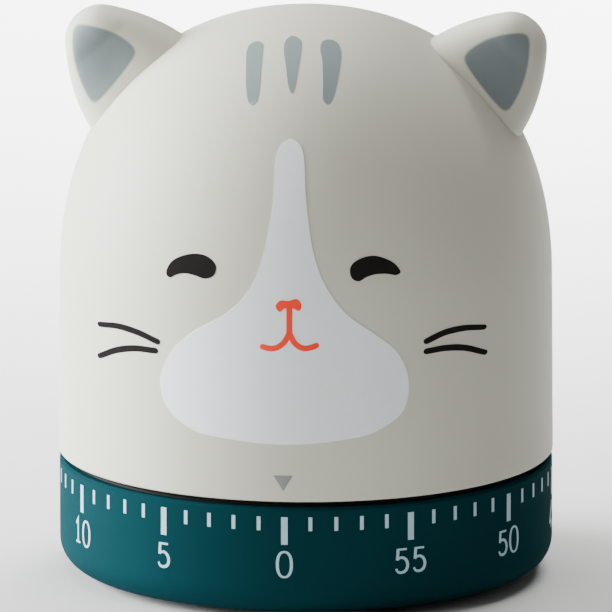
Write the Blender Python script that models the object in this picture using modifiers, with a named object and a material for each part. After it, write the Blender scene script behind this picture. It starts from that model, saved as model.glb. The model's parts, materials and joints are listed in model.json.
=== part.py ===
"""Mechanical sixty-minute kitchen timer with a cat's head for its knob.

The round base cup stands on three rubber feet and holds the movement: two steel plates on three pillars,
a mainspring on the main arbor, a going train down to an escape wheel and a striking train down to a star
wheel, and a bell in the cup.  The cat's head is a hollow dome that turns on the cup's glide ring and drives
the main arbor through a hub plate.  +Z is up, the face looks along -Y, and the origin is on the table under
the main arbor.
"""

import math

import bmesh
import bpy
from mathutils import Vector

MM = 0.001

# Fits that many pieces share
REST_GAP = 0.3 * MM  # between two pieces that lie on each other
RUNNING_GAP = 0.15 * MM  # radial room of a shaft in its hole
SEAT_GAP = 0.1 * MM  # radial room of a piece pressed on a shaft

# The outside: two sizes drive it, the rest are walls and gaps
BODY_RADIUS = 32.5 * MM
CROWN_HEIGHT = 75.2 * MM
RING_HEIGHT = 14.7 * MM
FOOT_PROUD = 0.8 * MM
TURNING_GAP = 0.8 * MM  # dark line between the ring and the head
HEAD_WALL = 2.2 * MM
HEAD_FLARE = 0.15 * MM  # the head's rim stands out past its straight wall by this
DOME_START = 23.9 * MM  # height of the head's straight wall above its rim
DOME_SHOULDER = 18.2 * MM  # how long the dome's outline stays upright
DOME_CROWN = 23.1 * MM  # how far its crown stays flat

# Base cup
CUP_WALL = 2.0 * MM
CUP_FLOOR = 2.0 * MM
CUP_FOOT_FILLET = 3.85 * MM
CUP_LIP_CHAMFER = 0.35 * MM
RABBET_WIDTH = 0.9 * MM
RABBET_DEPTH = 1.6 * MM
GLIDE_LIP_HEIGHT = 2.7 * MM
GLIDE_LIP_WALL = 1.2 * MM
GLIDE_PLAY = 0.4 * MM  # radial play of the head on the glide ring

# Movement frame
FRAME_MARGIN = 2.9 * MM  # plate rim to the inside of the head
PLATE_THICKNESS = 1.0 * MM
PLATE_SPACING = 13.5 * MM
PILLAR_INSET = 2.0 * MM  # pillar axis to the plate rim
PILLAR_RADIUS = 2.2 * MM
PILLAR_STUD_RADIUS = 1.2 * MM
PILLAR_COUNT = 3
PILLAR_START = math.radians(102)
NUT_RADIUS = 2.4 * MM
NUT_HEIGHT = 1.6 * MM
CASE_SCREW_RADIUS = 1.0 * MM
CASE_SCREW_HEAD_RADIUS = 2.2 * MM
CASE_SCREW_HEAD_HEIGHT = 1.1 * MM
CASE_SCREW_GRIP = 5.0 * MM  # how far a case screw enters its pillar
BOSS_WALL = 1.1 * MM

# Feet
FOOT_RADIUS = 3.5 * MM
FOOT_RECESS = 1.2 * MM
FOOT_RING_INSET = 10.5 * MM  # foot axis to the cup's outside

# Bell and what holds it
BELL_RADIUS = 20.0 * MM
BELL_HEIGHT = 5.0 * MM
BELL_WALL = 0.9 * MM
BELL_CORNER = 2.4 * MM
BELL_POST_RADIUS = 3.2 * MM
BELL_POST_HEIGHT = 1.4 * MM
BELL_WASHER_THICKNESS = 0.5 * MM
BELL_SCREW_RADIUS = 0.9 * MM
BELL_SCREW_HEAD_RADIUS = 2.8 * MM
BELL_SCREW_HEAD_HEIGHT = 1.4 * MM
BELL_HEADROOM = 2.2 * MM  # bell rim to the lower plate
SLOT_COUNT = 12
SLOT_WIDTH = 1.6 * MM
SLOT_INNER = 8.0 * MM
SLOT_OUTER = 15.0 * MM

# Trains.  Both modules follow the frame, so that the wheels stay inside the plates.
MAIN_TEETH = 64
SECOND_TEETH = 60
THIRD_TEETH = 48
ALARM_TEETH = 48
PINION_LEAVES = 8
MAIN_MODULE_SHARE = 68.75  # frame radius over the main wheel's module
FINE_MODULE_SHARE = 85.94  # frame radius over the faster wheels' module
PRESSURE_ANGLE = math.radians(25)
WHEEL_ADDENDUM = 0.7  # in modules, short so that no leaf is undercut
LEAF_ADDENDUM = 0.85
ROOT_ROOM = 0.25
BACKLASH = 0.06 * MM
WHEEL_THICKNESS = 0.7 * MM
MAIN_WHEEL_THICKNESS = 1.0 * MM
PINION_LENGTH = 1.6 * MM
ARBOR_RADIUS = 0.7 * MM
PIVOT_RADIUS = 0.5 * MM
SECOND_ANGLE = math.radians(200)
ALARM_ANGLE = math.radians(110)
THIRD_REACH = 0.582  # arbor distances from the centre, over the frame radius
ESCAPE_REACH = 0.702
PALLET_REACH = 0.818
STRIKER_REACH = 0.691
ESCAPE_TEETH = 15
ESCAPE_RADIUS = 6.0 * MM
STAR_TEETH = 12
STAR_RADIUS = 4.5 * MM

# Levels above the lower plate
FAST_LEVEL = 0.6 * MM  # second and alarm wheels
MAIN_LEVEL = 2.1 * MM
RATCHET_LEVEL = 3.4 * MM
THIRD_LEVEL = 4.8 * MM
SPRING_LEVEL = 5.9 * MM
ESCAPE_LEVEL = 7.5 * MM

# Main arbor, spring and ratchet
ARBOR_BODY_RADIUS = 2.6 * MM
ARBOR_FOOT_RADIUS = 1.5 * MM
ARBOR_DRIVE_RADIUS = 2.2 * MM
ARBOR_FLAT_DEPTH = 0.6 * MM
SPRING_WIDTH = 7.0 * MM
SPRING_THICKNESS = 0.3 * MM
SPRING_TURNS = 6
SPRING_OUTER = 12.2 * MM
RATCHET_RADIUS = 5.0 * MM
RATCHET_TEETH = 12
RATCHET_THICKNESS = 1.0 * MM
CLICK_PIVOT_REACH = 9.0 * MM
CLICK_RIVET_RADIUS = 0.6 * MM
CLICK_RIVET_HEAD_RADIUS = 1.0 * MM
CLICK_RIVET_HEAD_HEIGHT = 0.25 * MM
CLICK_HUB_RADIUS = 1.5 * MM
CLICK_NOSE_RADIUS = 0.3 * MM
CLICK_SPRING_RADIUS = 0.2 * MM
CLICK_SPRING_INSET = 2.2 * MM  # main wheel's rim to the spring

# Escapement and hammer
STAFF_RADIUS = 0.6 * MM
PALLET_PIN_RADIUS = 0.35 * MM
PALLET_PIN_CLEARANCE = 0.75 * MM
PALLET_SPREAD = math.radians(36)
PALLET_ROOM = 2.0 * MM  # escape wheel's rim to the pallet staff
PALLET_HUB_RADIUS = 1.5 * MM
PALLET_END_RADIUS = 0.7 * MM
BALANCE_ARM = 3.0 * MM
BALANCE_END_RADIUS = 1.6 * MM
BALANCE_THICKNESS = 1.5 * MM
HAMMER_ANGLE = math.radians(62)
HAMMER_HEAD_ANGLE = math.radians(30)
HAMMER_HUB_RADIUS = 1.4 * MM
HAMMER_NOSE_RADIUS = 0.4 * MM
HAMMER_HEAD_RADIUS = 1.5 * MM
HAMMER_HEAD_HEIGHT = 2.6 * MM
HAMMER_REST_GAP = 1.35 * MM  # hammer head to bell when it is held off

# Zero cam, release lever and stop above the upper plate
CAM_RADIUS = 9.0 * MM
CAM_THICKNESS = 1.2 * MM
CAM_NOTCH_WIDTH = 3.0 * MM
CAM_NOTCH_DEPTH = 1.4 * MM
LEVER_PIVOT_REACH = 17.0 * MM
LEVER_PIVOT_ANGLE = math.radians(350)
LEVER_NOSE_ANGLE = math.radians(20)
LEVER_NOSE_RADIUS = 0.8 * MM
LEVER_BOSS_RADIUS = 1.7 * MM
STOP_ANGLE = math.radians(90)
STOP_REACH = 14.0 * MM
STOP_POST_RADIUS = 0.8 * MM
STOP_ARM_RADIUS = 0.7 * MM
STOP_HUB_WALL = 1.6 * MM
STOP_FLANK_GAP = 0.15 * MM
STOP_ARM_THICKNESS = 1.0 * MM

# Hub plate that carries the head
HUB_HEIGHT = 9.0 * MM
HUB_RADIUS = 5.0 * MM
HUB_PLATE_THICKNESS = 2.0 * MM
HUB_PLATE_RISE = 3.5 * MM  # hub's lower end to the plate
HUB_PLATE_PLAY = 1.0 * MM
HUB_WINDOW_RADIUS = 4.2 * MM
HEAD_SCREW_RING_INSET = 9.0 * MM  # from the inside of the head
HEAD_SCREW_START = math.radians(90)
HEAD_BOSS_RADIUS = 3.2 * MM
HEAD_SCREW_RADIUS = 1.1 * MM
HEAD_SCREW_GRIP = 7.0 * MM
HEAD_SCREW_HEAD_RADIUS = 2.1 * MM
HEAD_SCREW_HEAD_HEIGHT = 1.4 * MM

# Ears, each a fat rounded wedge that stands on the dome where the dome leans by EAR_SEAT_LEAN
EAR_SEAT_LEAN = math.radians(46)
EAR_LEAN = math.radians(42)
EAR_REACH = 5.8 * MM  # dome to the middle of the ear's round tip
EAR_TIP_RADIUS = 4.7 * MM
EAR_FLANK_ANGLE = math.radians(38)  # half the angle between the ear's sides where the round tip ends
EAR_FLANK_CURVE = 0.029 / MM  # how fast the sides turn in again towards the dome
EAR_TIP_DEPTH = 4.4 * MM  # half the ear's thickness at the middle of the tip
EAR_SEAT_DEPTH = 5.7 * MM  # half the ear's thickness at the dome
EAR_SINK = 4.0 * MM  # how far the ear is shaped past the dome before it is cut to fit
EAR_SQUARENESS = 2.4  # 2 is an oval section, more is squarer
EAR_PEG_RADIUS = 2.5 * MM
EAR_PEG_LENGTH = 8.0 * MM
EAR_PEG_SIDES = 18

BIG_ROUND = 40  # sides of the cup and the head
BELL_ROUND = 32
SMALL_ROUND = 16
WELD = 0.00002


# Levels and radii that follow from the sizes above
FLOOR_BOTTOM = FOOT_PROUD
FLOOR_TOP = FLOOR_BOTTOM + CUP_FLOOR
RING_TOP = FOOT_PROUD + RING_HEIGHT
HEAD_BOTTOM = RING_TOP + TURNING_GAP
HEAD_INNER = BODY_RADIUS - HEAD_WALL
FRAME_RADIUS = HEAD_INNER - FRAME_MARGIN
PILLAR_RING = FRAME_RADIUS - PILLAR_INSET
PILLAR_ANGLES = [PILLAR_START + math.tau * i / PILLAR_COUNT for i in range(PILLAR_COUNT)]
WASHER_BOTTOM = FLOOR_TOP + BELL_POST_HEIGHT + REST_GAP
BELL_BOTTOM = WASHER_BOTTOM + BELL_WASHER_THICKNESS + REST_GAP
LOWER_PLATE = BELL_BOTTOM + BELL_HEIGHT + BELL_HEADROOM
TRAIN_FLOOR = LOWER_PLATE + PLATE_THICKNESS
UPPER_PLATE = TRAIN_FLOOR + PLATE_SPACING
FRAME_TOP = UPPER_PLATE + PLATE_THICKNESS
CAM_BOTTOM = FRAME_TOP + 2 * REST_GAP
STOP_ARM_BOTTOM = CAM_BOTTOM + CAM_THICKNESS + REST_GAP
HUB_BOTTOM = STOP_ARM_BOTTOM + STOP_ARM_THICKNESS + 2 * REST_GAP
HUB_PLATE = HUB_BOTTOM + HUB_PLATE_RISE
MAIN_MODULE = FRAME_RADIUS / MAIN_MODULE_SHARE
FINE_MODULE = FRAME_RADIUS / FINE_MODULE_SHARE


def clear_scene():
    for thing in list(bpy.data.objects):
        bpy.data.objects.remove(thing)


def new_collection(name):
    collection = bpy.data.collections.new(name)
    bpy.context.scene.collection.children.link(collection)
    return collection


def finish(name, colour, roughness, metallic=0.0):
    """A plain material for one kind of piece."""
    made = bpy.data.materials.new(name)
    made.use_nodes = True
    shader = made.node_tree.nodes["Principled BSDF"]
    shader.inputs["Base Color"].default_value = (*colour, 1.0)
    shader.inputs["Roughness"].default_value = roughness
    shader.inputs["Metallic"].default_value = metallic
    return made


clear_scene()
PARTS = new_collection("cat_kitchen_timer")
CUTTERS = new_collection("timer_cutters")

SHELL_GREY = finish("shell_grey", (0.66, 0.65, 0.58), 0.55)
RING_GREEN = finish("ring_green", (0.004, 0.085, 0.095), 0.5)
BLACK_PLASTIC = finish("black_plastic", (0.012, 0.012, 0.012), 0.6)
RUBBER = finish("rubber", (0.03, 0.03, 0.03), 0.85)
STEEL = finish("steel", (0.56, 0.57, 0.58), 0.35, 1.0)
BRASS = finish("brass", (0.71, 0.52, 0.22), 0.3, 1.0)
SPRING_STEEL = finish("spring_steel", (0.24, 0.25, 0.28), 0.3, 1.0)
NICKEL = finish("nickel", (0.75, 0.74, 0.70), 0.2, 1.0)
HUB_WHITE = finish("hub_white", (0.75, 0.75, 0.73), 0.5)
FELT = finish("felt", (0.20, 0.05, 0.04), 0.95)


# Making solids

def place(made, surface, parent, at, level, turn):
    made.data.materials.append(surface)
    made.location = (at[0], at[1], level)
    made.rotation_euler.z = turn
    made.parent = parent
    return made


def helper(made):
    """Moves a cutter, or a shape that is joined into another, out of the model."""
    for collection in list(made.users_collection):
        collection.objects.unlink(made)
    CUTTERS.objects.link(made)
    made.hide_render = True
    made.display_type = "WIRE"
    return made


def axis_at(name, at=(0.0, 0.0), parent=None):
    """An empty on a joint's axis, which carries every piece that turns about it."""
    empty = bpy.data.objects.new(name, None)
    empty.location = (at[0], at[1], 0.0)
    empty.parent = parent
    empty.empty_display_size = 2 * MM
    PARTS.objects.link(empty)
    return empty


def turned(name, profile, surface, parent=None, at=(0.0, 0.0), level=0.0, turn=0.0, sides=SMALL_ROUND):
    """A lathe-turned piece.  The profile runs down its outer side; off the axis it is a closed loop."""
    mesh = bpy.data.meshes.new(name)
    edges = [(i, i + 1) for i in range(len(profile) - 1)]
    if profile[0][0] > 0:
        edges.append((len(profile) - 1, 0))
    mesh.from_pydata([(radius, 0.0, height) for radius, height in profile], edges, [])
    made = bpy.data.objects.new(name, mesh)
    PARTS.objects.link(made)
    screw = made.modifiers.new("turn", "SCREW")
    screw.steps = screw.render_steps = sides
    screw.use_merge_vertices = True
    screw.merge_threshold = WELD
    screw.use_smooth_shade = True
    return place(made, surface, parent, at, level, turn)


def stepped(*sections):
    """The profile of a stepped shaft, from (radius, bottom, top) sections given from the bottom up."""
    profile = [(0.0, sections[-1][2])]
    for radius, bottom, top in reversed(sections):
        profile += [(radius, top), (radius, bottom)]
    return profile + [(0.0, sections[0][1])]


def ring_profile(inner, outer, bottom, top):
    return [(outer, top), (outer, bottom), (inner, bottom), (inner, top)]


def arc(centre, radius, start, end, steps):
    """Points on an arc, both ends included."""
    return [
        (
            centre[0] + radius * math.cos(start + (end - start) * i / steps),
            centre[1] + radius * math.sin(start + (end - start) * i / steps),
        )
        for i in range(steps + 1)
    ]


def circle(radius, centre=(0.0, 0.0), sides=SMALL_ROUND):
    return arc(centre, radius, 0.0, math.tau * (sides - 1) / sides, sides - 1)


def polar(radius, angle):
    return Vector((radius * math.cos(angle), radius * math.sin(angle)))


def link_outline(first, first_radius, second, second_radius, steps=6):
    """The outline of a flat link: two round ends and the lines that touch both."""
    span = Vector(second) - Vector(first)
    heading = math.atan2(span.y, span.x)
    side = math.acos((first_radius - second_radius) / span.length)
    far = arc(second, second_radius, heading - side, heading + side, steps)
    near = arc(first, first_radius, heading + side, heading - side + math.tau, steps)
    return far + near


def stamped(name, outlines, thickness, surface, parent=None, at=(0.0, 0.0), level=0.0, turn=0.0):
    """A flat piece standing on its level.  The first outline is its edge and the others are holes."""
    flat = bpy.data.curves.new(name, "CURVE")
    flat.dimensions = "2D"
    flat.fill_mode = "BOTH"
    flat.extrude = thickness / 2
    for outline in outlines:
        spline = flat.splines.new("POLY")
        spline.points.add(len(outline) - 1)
        for point, (x, y) in zip(spline.points, outline):
            point.co = (x, y, 0.0, 1.0)
        spline.use_cyclic_u = True
    made = bpy.data.objects.new(name, flat)
    PARTS.objects.link(made)
    return place(made, surface, parent, at, level + thickness / 2, turn)


def wire(name, points, radius, surface, parent=None, at=(0.0, 0.0), level=0.0):
    """A bent wire with closed ends."""
    path = bpy.data.curves.new(name, "CURVE")
    path.dimensions = "3D"
    path.bevel_depth = radius
    path.bevel_resolution = 2
    path.use_fill_caps = True
    spline = path.splines.new("POLY")
    spline.points.add(len(points) - 1)
    for point, position in zip(spline.points, points):
        point.co = (*position, 1.0)
    made = bpy.data.objects.new(name, path)
    PARTS.objects.link(made)
    return place(made, surface, parent, at, level, 0.0)


def as_mesh(curve_object):
    """The same piece as a mesh with its caps welded on, so that it can be cut and joined."""
    bpy.context.view_layer.update()
    graph = bpy.context.evaluated_depsgraph_get()
    mesh = bpy.data.meshes.new_from_object(curve_object.evaluated_get(graph))
    work = bmesh.new()
    work.from_mesh(mesh)
    bmesh.ops.remove_doubles(work, verts=work.verts, dist=WELD)
    work.to_mesh(mesh)
    work.free()
    name = curve_object.name
    made = bpy.data.objects.new(name, mesh)
    PARTS.objects.link(made)
    made.parent = curve_object.parent
    made.location = curve_object.location
    made.rotation_euler = curve_object.rotation_euler
    bpy.data.objects.remove(curve_object)
    made.name = name
    return made


def boolean(target, other, operation):
    step = target.modifiers.new(f"{operation.lower()}_{other.name}", "BOOLEAN")
    step.operation = operation
    step.object = helper(other)
    return target


def cut(target, *cutters):
    for cutter in cutters:
        boolean(target, cutter, "DIFFERENCE")
    return target


def join(target, *others):
    for other in others:
        boolean(target, other, "UNION")
    return target


def cylinder(name, radius, bottom, top, parent=None, at=(0.0, 0.0), sides=SMALL_ROUND):
    """A plain round bar from the cylinder primitive, used as a cutter or to join."""
    mesh = bpy.data.meshes.new(name)
    work = bmesh.new()
    bmesh.ops.create_cone(
        work, cap_ends=True, segments=sides, radius1=radius, radius2=radius, depth=top - bottom
    )
    work.to_mesh(mesh)
    work.free()
    made = bpy.data.objects.new(name, mesh)
    PARTS.objects.link(made)
    made.location = (at[0], at[1], (top + bottom) / 2)
    made.parent = parent
    return made


def block(name, size, centre, parent=None, turn=0.0):
    """A box from the cube primitive, used as a cutter."""
    mesh = bpy.data.meshes.new(name)
    work = bmesh.new()
    bmesh.ops.create_cube(work, size=1.0)
    bmesh.ops.scale(work, vec=size, verts=work.verts)
    work.to_mesh(mesh)
    work.free()
    made = bpy.data.objects.new(name, mesh)
    PARTS.objects.link(made)
    made.location = centre
    made.rotation_euler.z = turn
    made.parent = parent
    return made


# Shape of the head, which its shell, its ears and their cutters share

def dome_outline(outset=0.0, steps=14):
    """The head's outline from the crown down to its rim, moved outwards by outset along its normals."""
    rim = (BODY_RADIUS + HEAD_FLARE - 0.05 * MM, HEAD_BOTTOM)
    start = Vector((BODY_RADIUS - 0.05 * MM, HEAD_BOTTOM + DOME_START))
    crown = Vector((0.0, CROWN_HEIGHT))
    upright = start + Vector((0.0, DOME_SHOULDER))
    level = crown + Vector((DOME_CROWN, 0.0))
    points = []
    for i in range(steps + 1):
        t = 1 - i / steps
        point = (
            (1 - t) ** 3 * start + 3 * t * (1 - t) ** 2 * upright + 3 * t**2 * (1 - t) * level + t**3 * crown
        )
        slope = (
            3 * (1 - t) ** 2 * (upright - start) + 6 * t * (1 - t) * (level - upright)
            + 3 * t**2 * (crown - level)
        )
        normal = Vector((slope.y, -slope.x)).normalized()
        points.append((max(0.0, point.x + outset * normal.x), point.y + outset * normal.y))
    points[0] = (0.0, CROWN_HEIGHT + outset)
    return points + [(rim[0] + outset, rim[1])]


# The base and what stands in it

def make_feet():
    ring = BODY_RADIUS - FOOT_RING_INSET
    height = FOOT_PROUD + FOOT_RECESS - REST_GAP
    for i, angle in enumerate(PILLAR_ANGLES):
        spot = polar(ring, angle - math.pi / PILLAR_COUNT)
        chamfer = FOOT_PROUD / 3
        profile = [
            (0.0, height), (FOOT_RADIUS, height), (FOOT_RADIUS, chamfer), (FOOT_RADIUS - chamfer, 0.0),
            (0.0, 0.0),
        ]
        turned(f"rubber_foot_{i + 1}", profile, RUBBER, at=spot, sides=SMALL_ROUND)


def make_base_cup():
    """The green cup: floor with bosses, sound slots and foot recesses, and a rabbet for the glide ring."""
    outer, top = BODY_RADIUS, RING_TOP
    inner = outer - CUP_WALL
    rabbet = inner + RABBET_WIDTH
    fillet = arc(
        (outer - CUP_FOOT_FILLET, FLOOR_BOTTOM + CUP_FOOT_FILLET), CUP_FOOT_FILLET, 0.0, -math.pi / 2, 5
    )
    inside_fillet = CUP_FOOT_FILLET - CUP_WALL
    hollow = arc((inner - inside_fillet, FLOOR_TOP + inside_fillet), inside_fillet, 0.0, -math.pi / 2, 2)
    profile = (
        [(0.0, FLOOR_TOP)]
        + hollow[::-1]
        + [(inner, top - RABBET_DEPTH), (rabbet, top - RABBET_DEPTH), (rabbet, top)]
        + [(outer - CUP_LIP_CHAMFER, top), (outer, top - CUP_LIP_CHAMFER)]
        + fillet
        + [(0.0, FLOOR_BOTTOM)]
    )
    cup = turned("base_cup", profile, RING_GREEN, sides=BIG_ROUND)
    floor_sink = CUP_FLOOR / 2
    join(cup, cylinder("bell_post", BELL_POST_RADIUS, FLOOR_TOP - floor_sink, FLOOR_TOP + BELL_POST_HEIGHT))
    boss_radius = CASE_SCREW_RADIUS + 2 * RUNNING_GAP + BOSS_WALL
    for i, angle in enumerate(PILLAR_ANGLES):
        spot = polar(PILLAR_RING, angle)
        join(cup, cylinder(f"boss_{i}", boss_radius, FLOOR_TOP - floor_sink, LOWER_PLATE - REST_GAP, at=spot))
    for i, angle in enumerate(PILLAR_ANGLES):
        spot = polar(PILLAR_RING, angle)
        bore = CASE_SCREW_RADIUS + 2 * RUNNING_GAP
        sink = CASE_SCREW_HEAD_RADIUS + 2 * RUNNING_GAP
        sink_top = FLOOR_BOTTOM + CASE_SCREW_HEAD_HEIGHT + 2 * REST_GAP
        cut(cup, cylinder(f"boss_bore_{i}", bore, 0.0, LOWER_PLATE, at=spot))
        cut(cup, cylinder(f"boss_sink_{i}", sink, 0.0, sink_top, at=spot))
        foot = polar(BODY_RADIUS - FOOT_RING_INSET, angle - math.pi / PILLAR_COUNT)
        recess = FOOT_RADIUS + RUNNING_GAP
        cut(cup, cylinder(f"foot_recess_{i}", recess, 0.0, FLOOR_BOTTOM + FOOT_RECESS, at=foot))
    middle, length = (SLOT_OUTER + SLOT_INNER) / 2, SLOT_OUTER - SLOT_INNER
    for i in range(SLOT_COUNT):
        angle = math.tau * (i + 0.5) / SLOT_COUNT
        spot = polar(middle, angle)
        size = (length, SLOT_WIDTH, 3 * CUP_FLOOR)
        cut(cup, block(f"sound_slot_{i}", size, (*spot, FLOOR_BOTTOM), turn=angle))
    pilot = BELL_SCREW_RADIUS + SEAT_GAP
    cut(cup, cylinder("bell_pilot", pilot, FLOOR_BOTTOM + CUP_FLOOR / 3, LOWER_PLATE))


def make_glide_ring():
    """The black ring in the cup's rabbet that the head turns on and is centred by."""
    outer = BODY_RADIUS - CUP_WALL + RABBET_WIDTH - SEAT_GAP
    bottom = RING_TOP - RABBET_DEPTH + REST_GAP
    flange_top = RING_TOP + TURNING_GAP / 2
    lip_outer = HEAD_INNER - GLIDE_PLAY
    lip_inner = lip_outer - GLIDE_LIP_WALL
    top = flange_top + GLIDE_LIP_HEIGHT
    profile = [
        (lip_outer, top), (lip_outer, flange_top), (outer, flange_top), (outer, bottom),
        (lip_inner, bottom), (lip_inner, top),
    ]
    turned("glide_ring", profile, BLACK_PLASTIC, sides=BIG_ROUND)


def make_case_screws():
    """Three screws from below, through the cup's bosses and the lower plate into the pillars."""
    head_bottom = FLOOR_BOTTOM + REST_GAP
    head_top = head_bottom + CASE_SCREW_HEAD_HEIGHT
    tip = TRAIN_FLOOR + REST_GAP + CASE_SCREW_GRIP
    for i, angle in enumerate(PILLAR_ANGLES):
        profile = stepped(
            (CASE_SCREW_HEAD_RADIUS, head_bottom, head_top), (CASE_SCREW_RADIUS, head_top, tip)
        )
        screw = turned(f"case_screw_{i + 1}", profile, STEEL, at=polar(PILLAR_RING, angle), sides=12)
        cross_slot(screw, CASE_SCREW_HEAD_RADIUS, head_bottom, CASE_SCREW_HEAD_HEIGHT, i)


def cross_slot(screw, head_radius, face, depth, number):
    """Cuts the two crossed driver slots into a screw head."""
    for k in range(2):
        size = (1.3 * head_radius, 0.28 * head_radius, depth)
        name = f"driver_slot_{screw.name}_{k}_{number}"
        slot = block(name, size, (screw.location.x, screw.location.y, face), turn=k * math.pi / 2)
        slot.parent = screw.parent
        cut(screw, slot)


def make_bell():
    """The bell cup, its felt washer and the screw that holds both to the cup's post."""
    hole = BELL_SCREW_RADIUS + 2 * RUNNING_GAP
    turned(
        "bell_washer",
        ring_profile(hole, BELL_POST_RADIUS, WASHER_BOTTOM, WASHER_BOTTOM + BELL_WASHER_THICKNESS),
        FELT,
        sides=SMALL_ROUND,
    )
    bottom, top = BELL_BOTTOM, BELL_BOTTOM + BELL_HEIGHT
    corner = (BELL_RADIUS - BELL_CORNER, bottom + BELL_CORNER)
    outside = arc(corner, BELL_CORNER, 0.0, -math.pi / 2, 3)
    inside = arc(corner, BELL_CORNER - BELL_WALL, -math.pi / 2, 0.0, 3)
    profile = (
        [(BELL_RADIUS, top)]
        + outside
        + [(hole, bottom), (hole, bottom + BELL_WALL)]
        + inside
        + [(BELL_RADIUS - BELL_WALL, top)]
    )
    turned("bell", profile, NICKEL, sides=BELL_ROUND)
    head = bottom + BELL_WALL + REST_GAP
    tip = FLOOR_BOTTOM + CUP_FLOOR / 3 + REST_GAP
    screw = turned(
        "bell_screw",
        stepped(
            (BELL_SCREW_RADIUS, tip, head), (BELL_SCREW_HEAD_RADIUS, head, head + BELL_SCREW_HEAD_HEIGHT)
        ),
        STEEL,
        sides=SMALL_ROUND,
    )
    slot_size = (2.2 * BELL_SCREW_HEAD_RADIUS, 0.25 * BELL_SCREW_HEAD_RADIUS, BELL_SCREW_HEAD_HEIGHT)
    cut(screw, block("bell_screw_slot", slot_size, (0.0, 0.0, head + BELL_SCREW_HEAD_HEIGHT)))


# Where each arbor stands

def beside(reach, angle, distance, next_reach, sense):
    """The angle of an arbor at next_reach from the centre, at distance from the arbor at (reach, angle)."""
    swing = math.acos((reach**2 + next_reach**2 - distance**2) / (2 * reach * next_reach))
    return angle + sense * swing


def centre_distance(teeth, module):
    return (teeth + PINION_LEAVES) * module / 2


MAIN_REACH = centre_distance(MAIN_TEETH, MAIN_MODULE)
THIRD_RADIUS = THIRD_REACH * FRAME_RADIUS
ESCAPE_RING = ESCAPE_REACH * FRAME_RADIUS
PALLET_RING = PALLET_REACH * FRAME_RADIUS
STRIKER_RING = STRIKER_REACH * FRAME_RADIUS
SECOND_SPOT = polar(MAIN_REACH, SECOND_ANGLE)
THIRD_ANGLE = beside(MAIN_REACH, SECOND_ANGLE, centre_distance(SECOND_TEETH, FINE_MODULE), THIRD_RADIUS, 1)
THIRD_SPOT = polar(THIRD_RADIUS, THIRD_ANGLE)
ESCAPE_ANGLE = beside(THIRD_RADIUS, THIRD_ANGLE, centre_distance(THIRD_TEETH, FINE_MODULE), ESCAPE_RING, 1)
ESCAPE_SPOT = polar(ESCAPE_RING, ESCAPE_ANGLE)
PALLET_DISTANCE = ESCAPE_RADIUS + PALLET_ROOM
PALLET_ANGLE = beside(ESCAPE_RING, ESCAPE_ANGLE, PALLET_DISTANCE, PALLET_RING, 1)
PALLET_SPOT = polar(PALLET_RING, PALLET_ANGLE)
ALARM_SPOT = polar(MAIN_REACH, ALARM_ANGLE)
STRIKER_ANGLE = beside(MAIN_REACH, ALARM_ANGLE, centre_distance(ALARM_TEETH, FINE_MODULE), STRIKER_RING, -1)
STRIKER_SPOT = polar(STRIKER_RING, STRIKER_ANGLE)
HAMMER_SPOT = polar(PALLET_RING, HAMMER_ANGLE)
PLATE_HOLES = {
    "second": SECOND_SPOT,
    "third": THIRD_SPOT,
    "escape": ESCAPE_SPOT,
    "alarm": ALARM_SPOT,
    "striker": STRIKER_SPOT,
}
STAFF_HOLES = {"pallet": PALLET_SPOT, "hammer": HAMMER_SPOT}


# Movement frame

def plate_holes(centre_radius):
    """Every hole that both plates share."""
    holes = [circle(centre_radius, sides=24)]
    holes += [circle(PIVOT_RADIUS + RUNNING_GAP, spot, 12) for spot in PLATE_HOLES.values()]
    holes += [circle(STAFF_RADIUS + RUNNING_GAP, spot, 12) for spot in STAFF_HOLES.values()]
    stud = PILLAR_STUD_RADIUS + RUNNING_GAP
    return holes + [circle(stud, polar(PILLAR_RING, angle), 12) for angle in PILLAR_ANGLES]


def make_frame():
    """Both plates, the pillars between them and the nuts on top."""
    rim = circle(FRAME_RADIUS, sides=BIG_ROUND)
    holes = plate_holes(ARBOR_FOOT_RADIUS + RUNNING_GAP)
    stamped("lower_plate", [rim] + holes, PLATE_THICKNESS, STEEL, level=LOWER_PLATE)
    upper_holes = plate_holes(ARBOR_DRIVE_RADIUS + RUNNING_GAP)
    upper_holes.append(circle(STOP_POST_RADIUS + SEAT_GAP, polar(STOP_REACH, STOP_ANGLE), 12))
    upper_holes.append(circle(STAFF_RADIUS + SEAT_GAP, polar(LEVER_PIVOT_REACH, LEVER_PIVOT_ANGLE), 12))
    stamped("upper_plate", [rim] + upper_holes, PLATE_THICKNESS, STEEL, level=UPPER_PLATE)
    bottom, top = TRAIN_FLOOR + REST_GAP, UPPER_PLATE - REST_GAP
    stud_top = FRAME_TOP + REST_GAP + NUT_HEIGHT + REST_GAP
    for i, angle in enumerate(PILLAR_ANGLES):
        spot = polar(PILLAR_RING, angle)
        profile = stepped((PILLAR_RADIUS, bottom, top), (PILLAR_STUD_RADIUS, top, stud_top))
        pillar = turned(f"pillar_{i + 1}", profile, STEEL, at=spot, sides=SMALL_ROUND)
        tap = CASE_SCREW_RADIUS + RUNNING_GAP
        depth = CASE_SCREW_GRIP + 2 * REST_GAP
        cut(pillar, cylinder(f"pillar_tap_{i}", tap, bottom - depth, bottom + depth, at=spot, sides=12))
        hole = PILLAR_STUD_RADIUS + RUNNING_GAP
        stamped(
            f"pillar_nut_{i + 1}", [circle(NUT_RADIUS, sides=6), circle(hole, sides=12)], NUT_HEIGHT, BRASS,
            at=spot, level=FRAME_TOP + REST_GAP,
        )


# Toothed wheels

def involute(angle):
    return math.tan(angle) - angle


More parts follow.
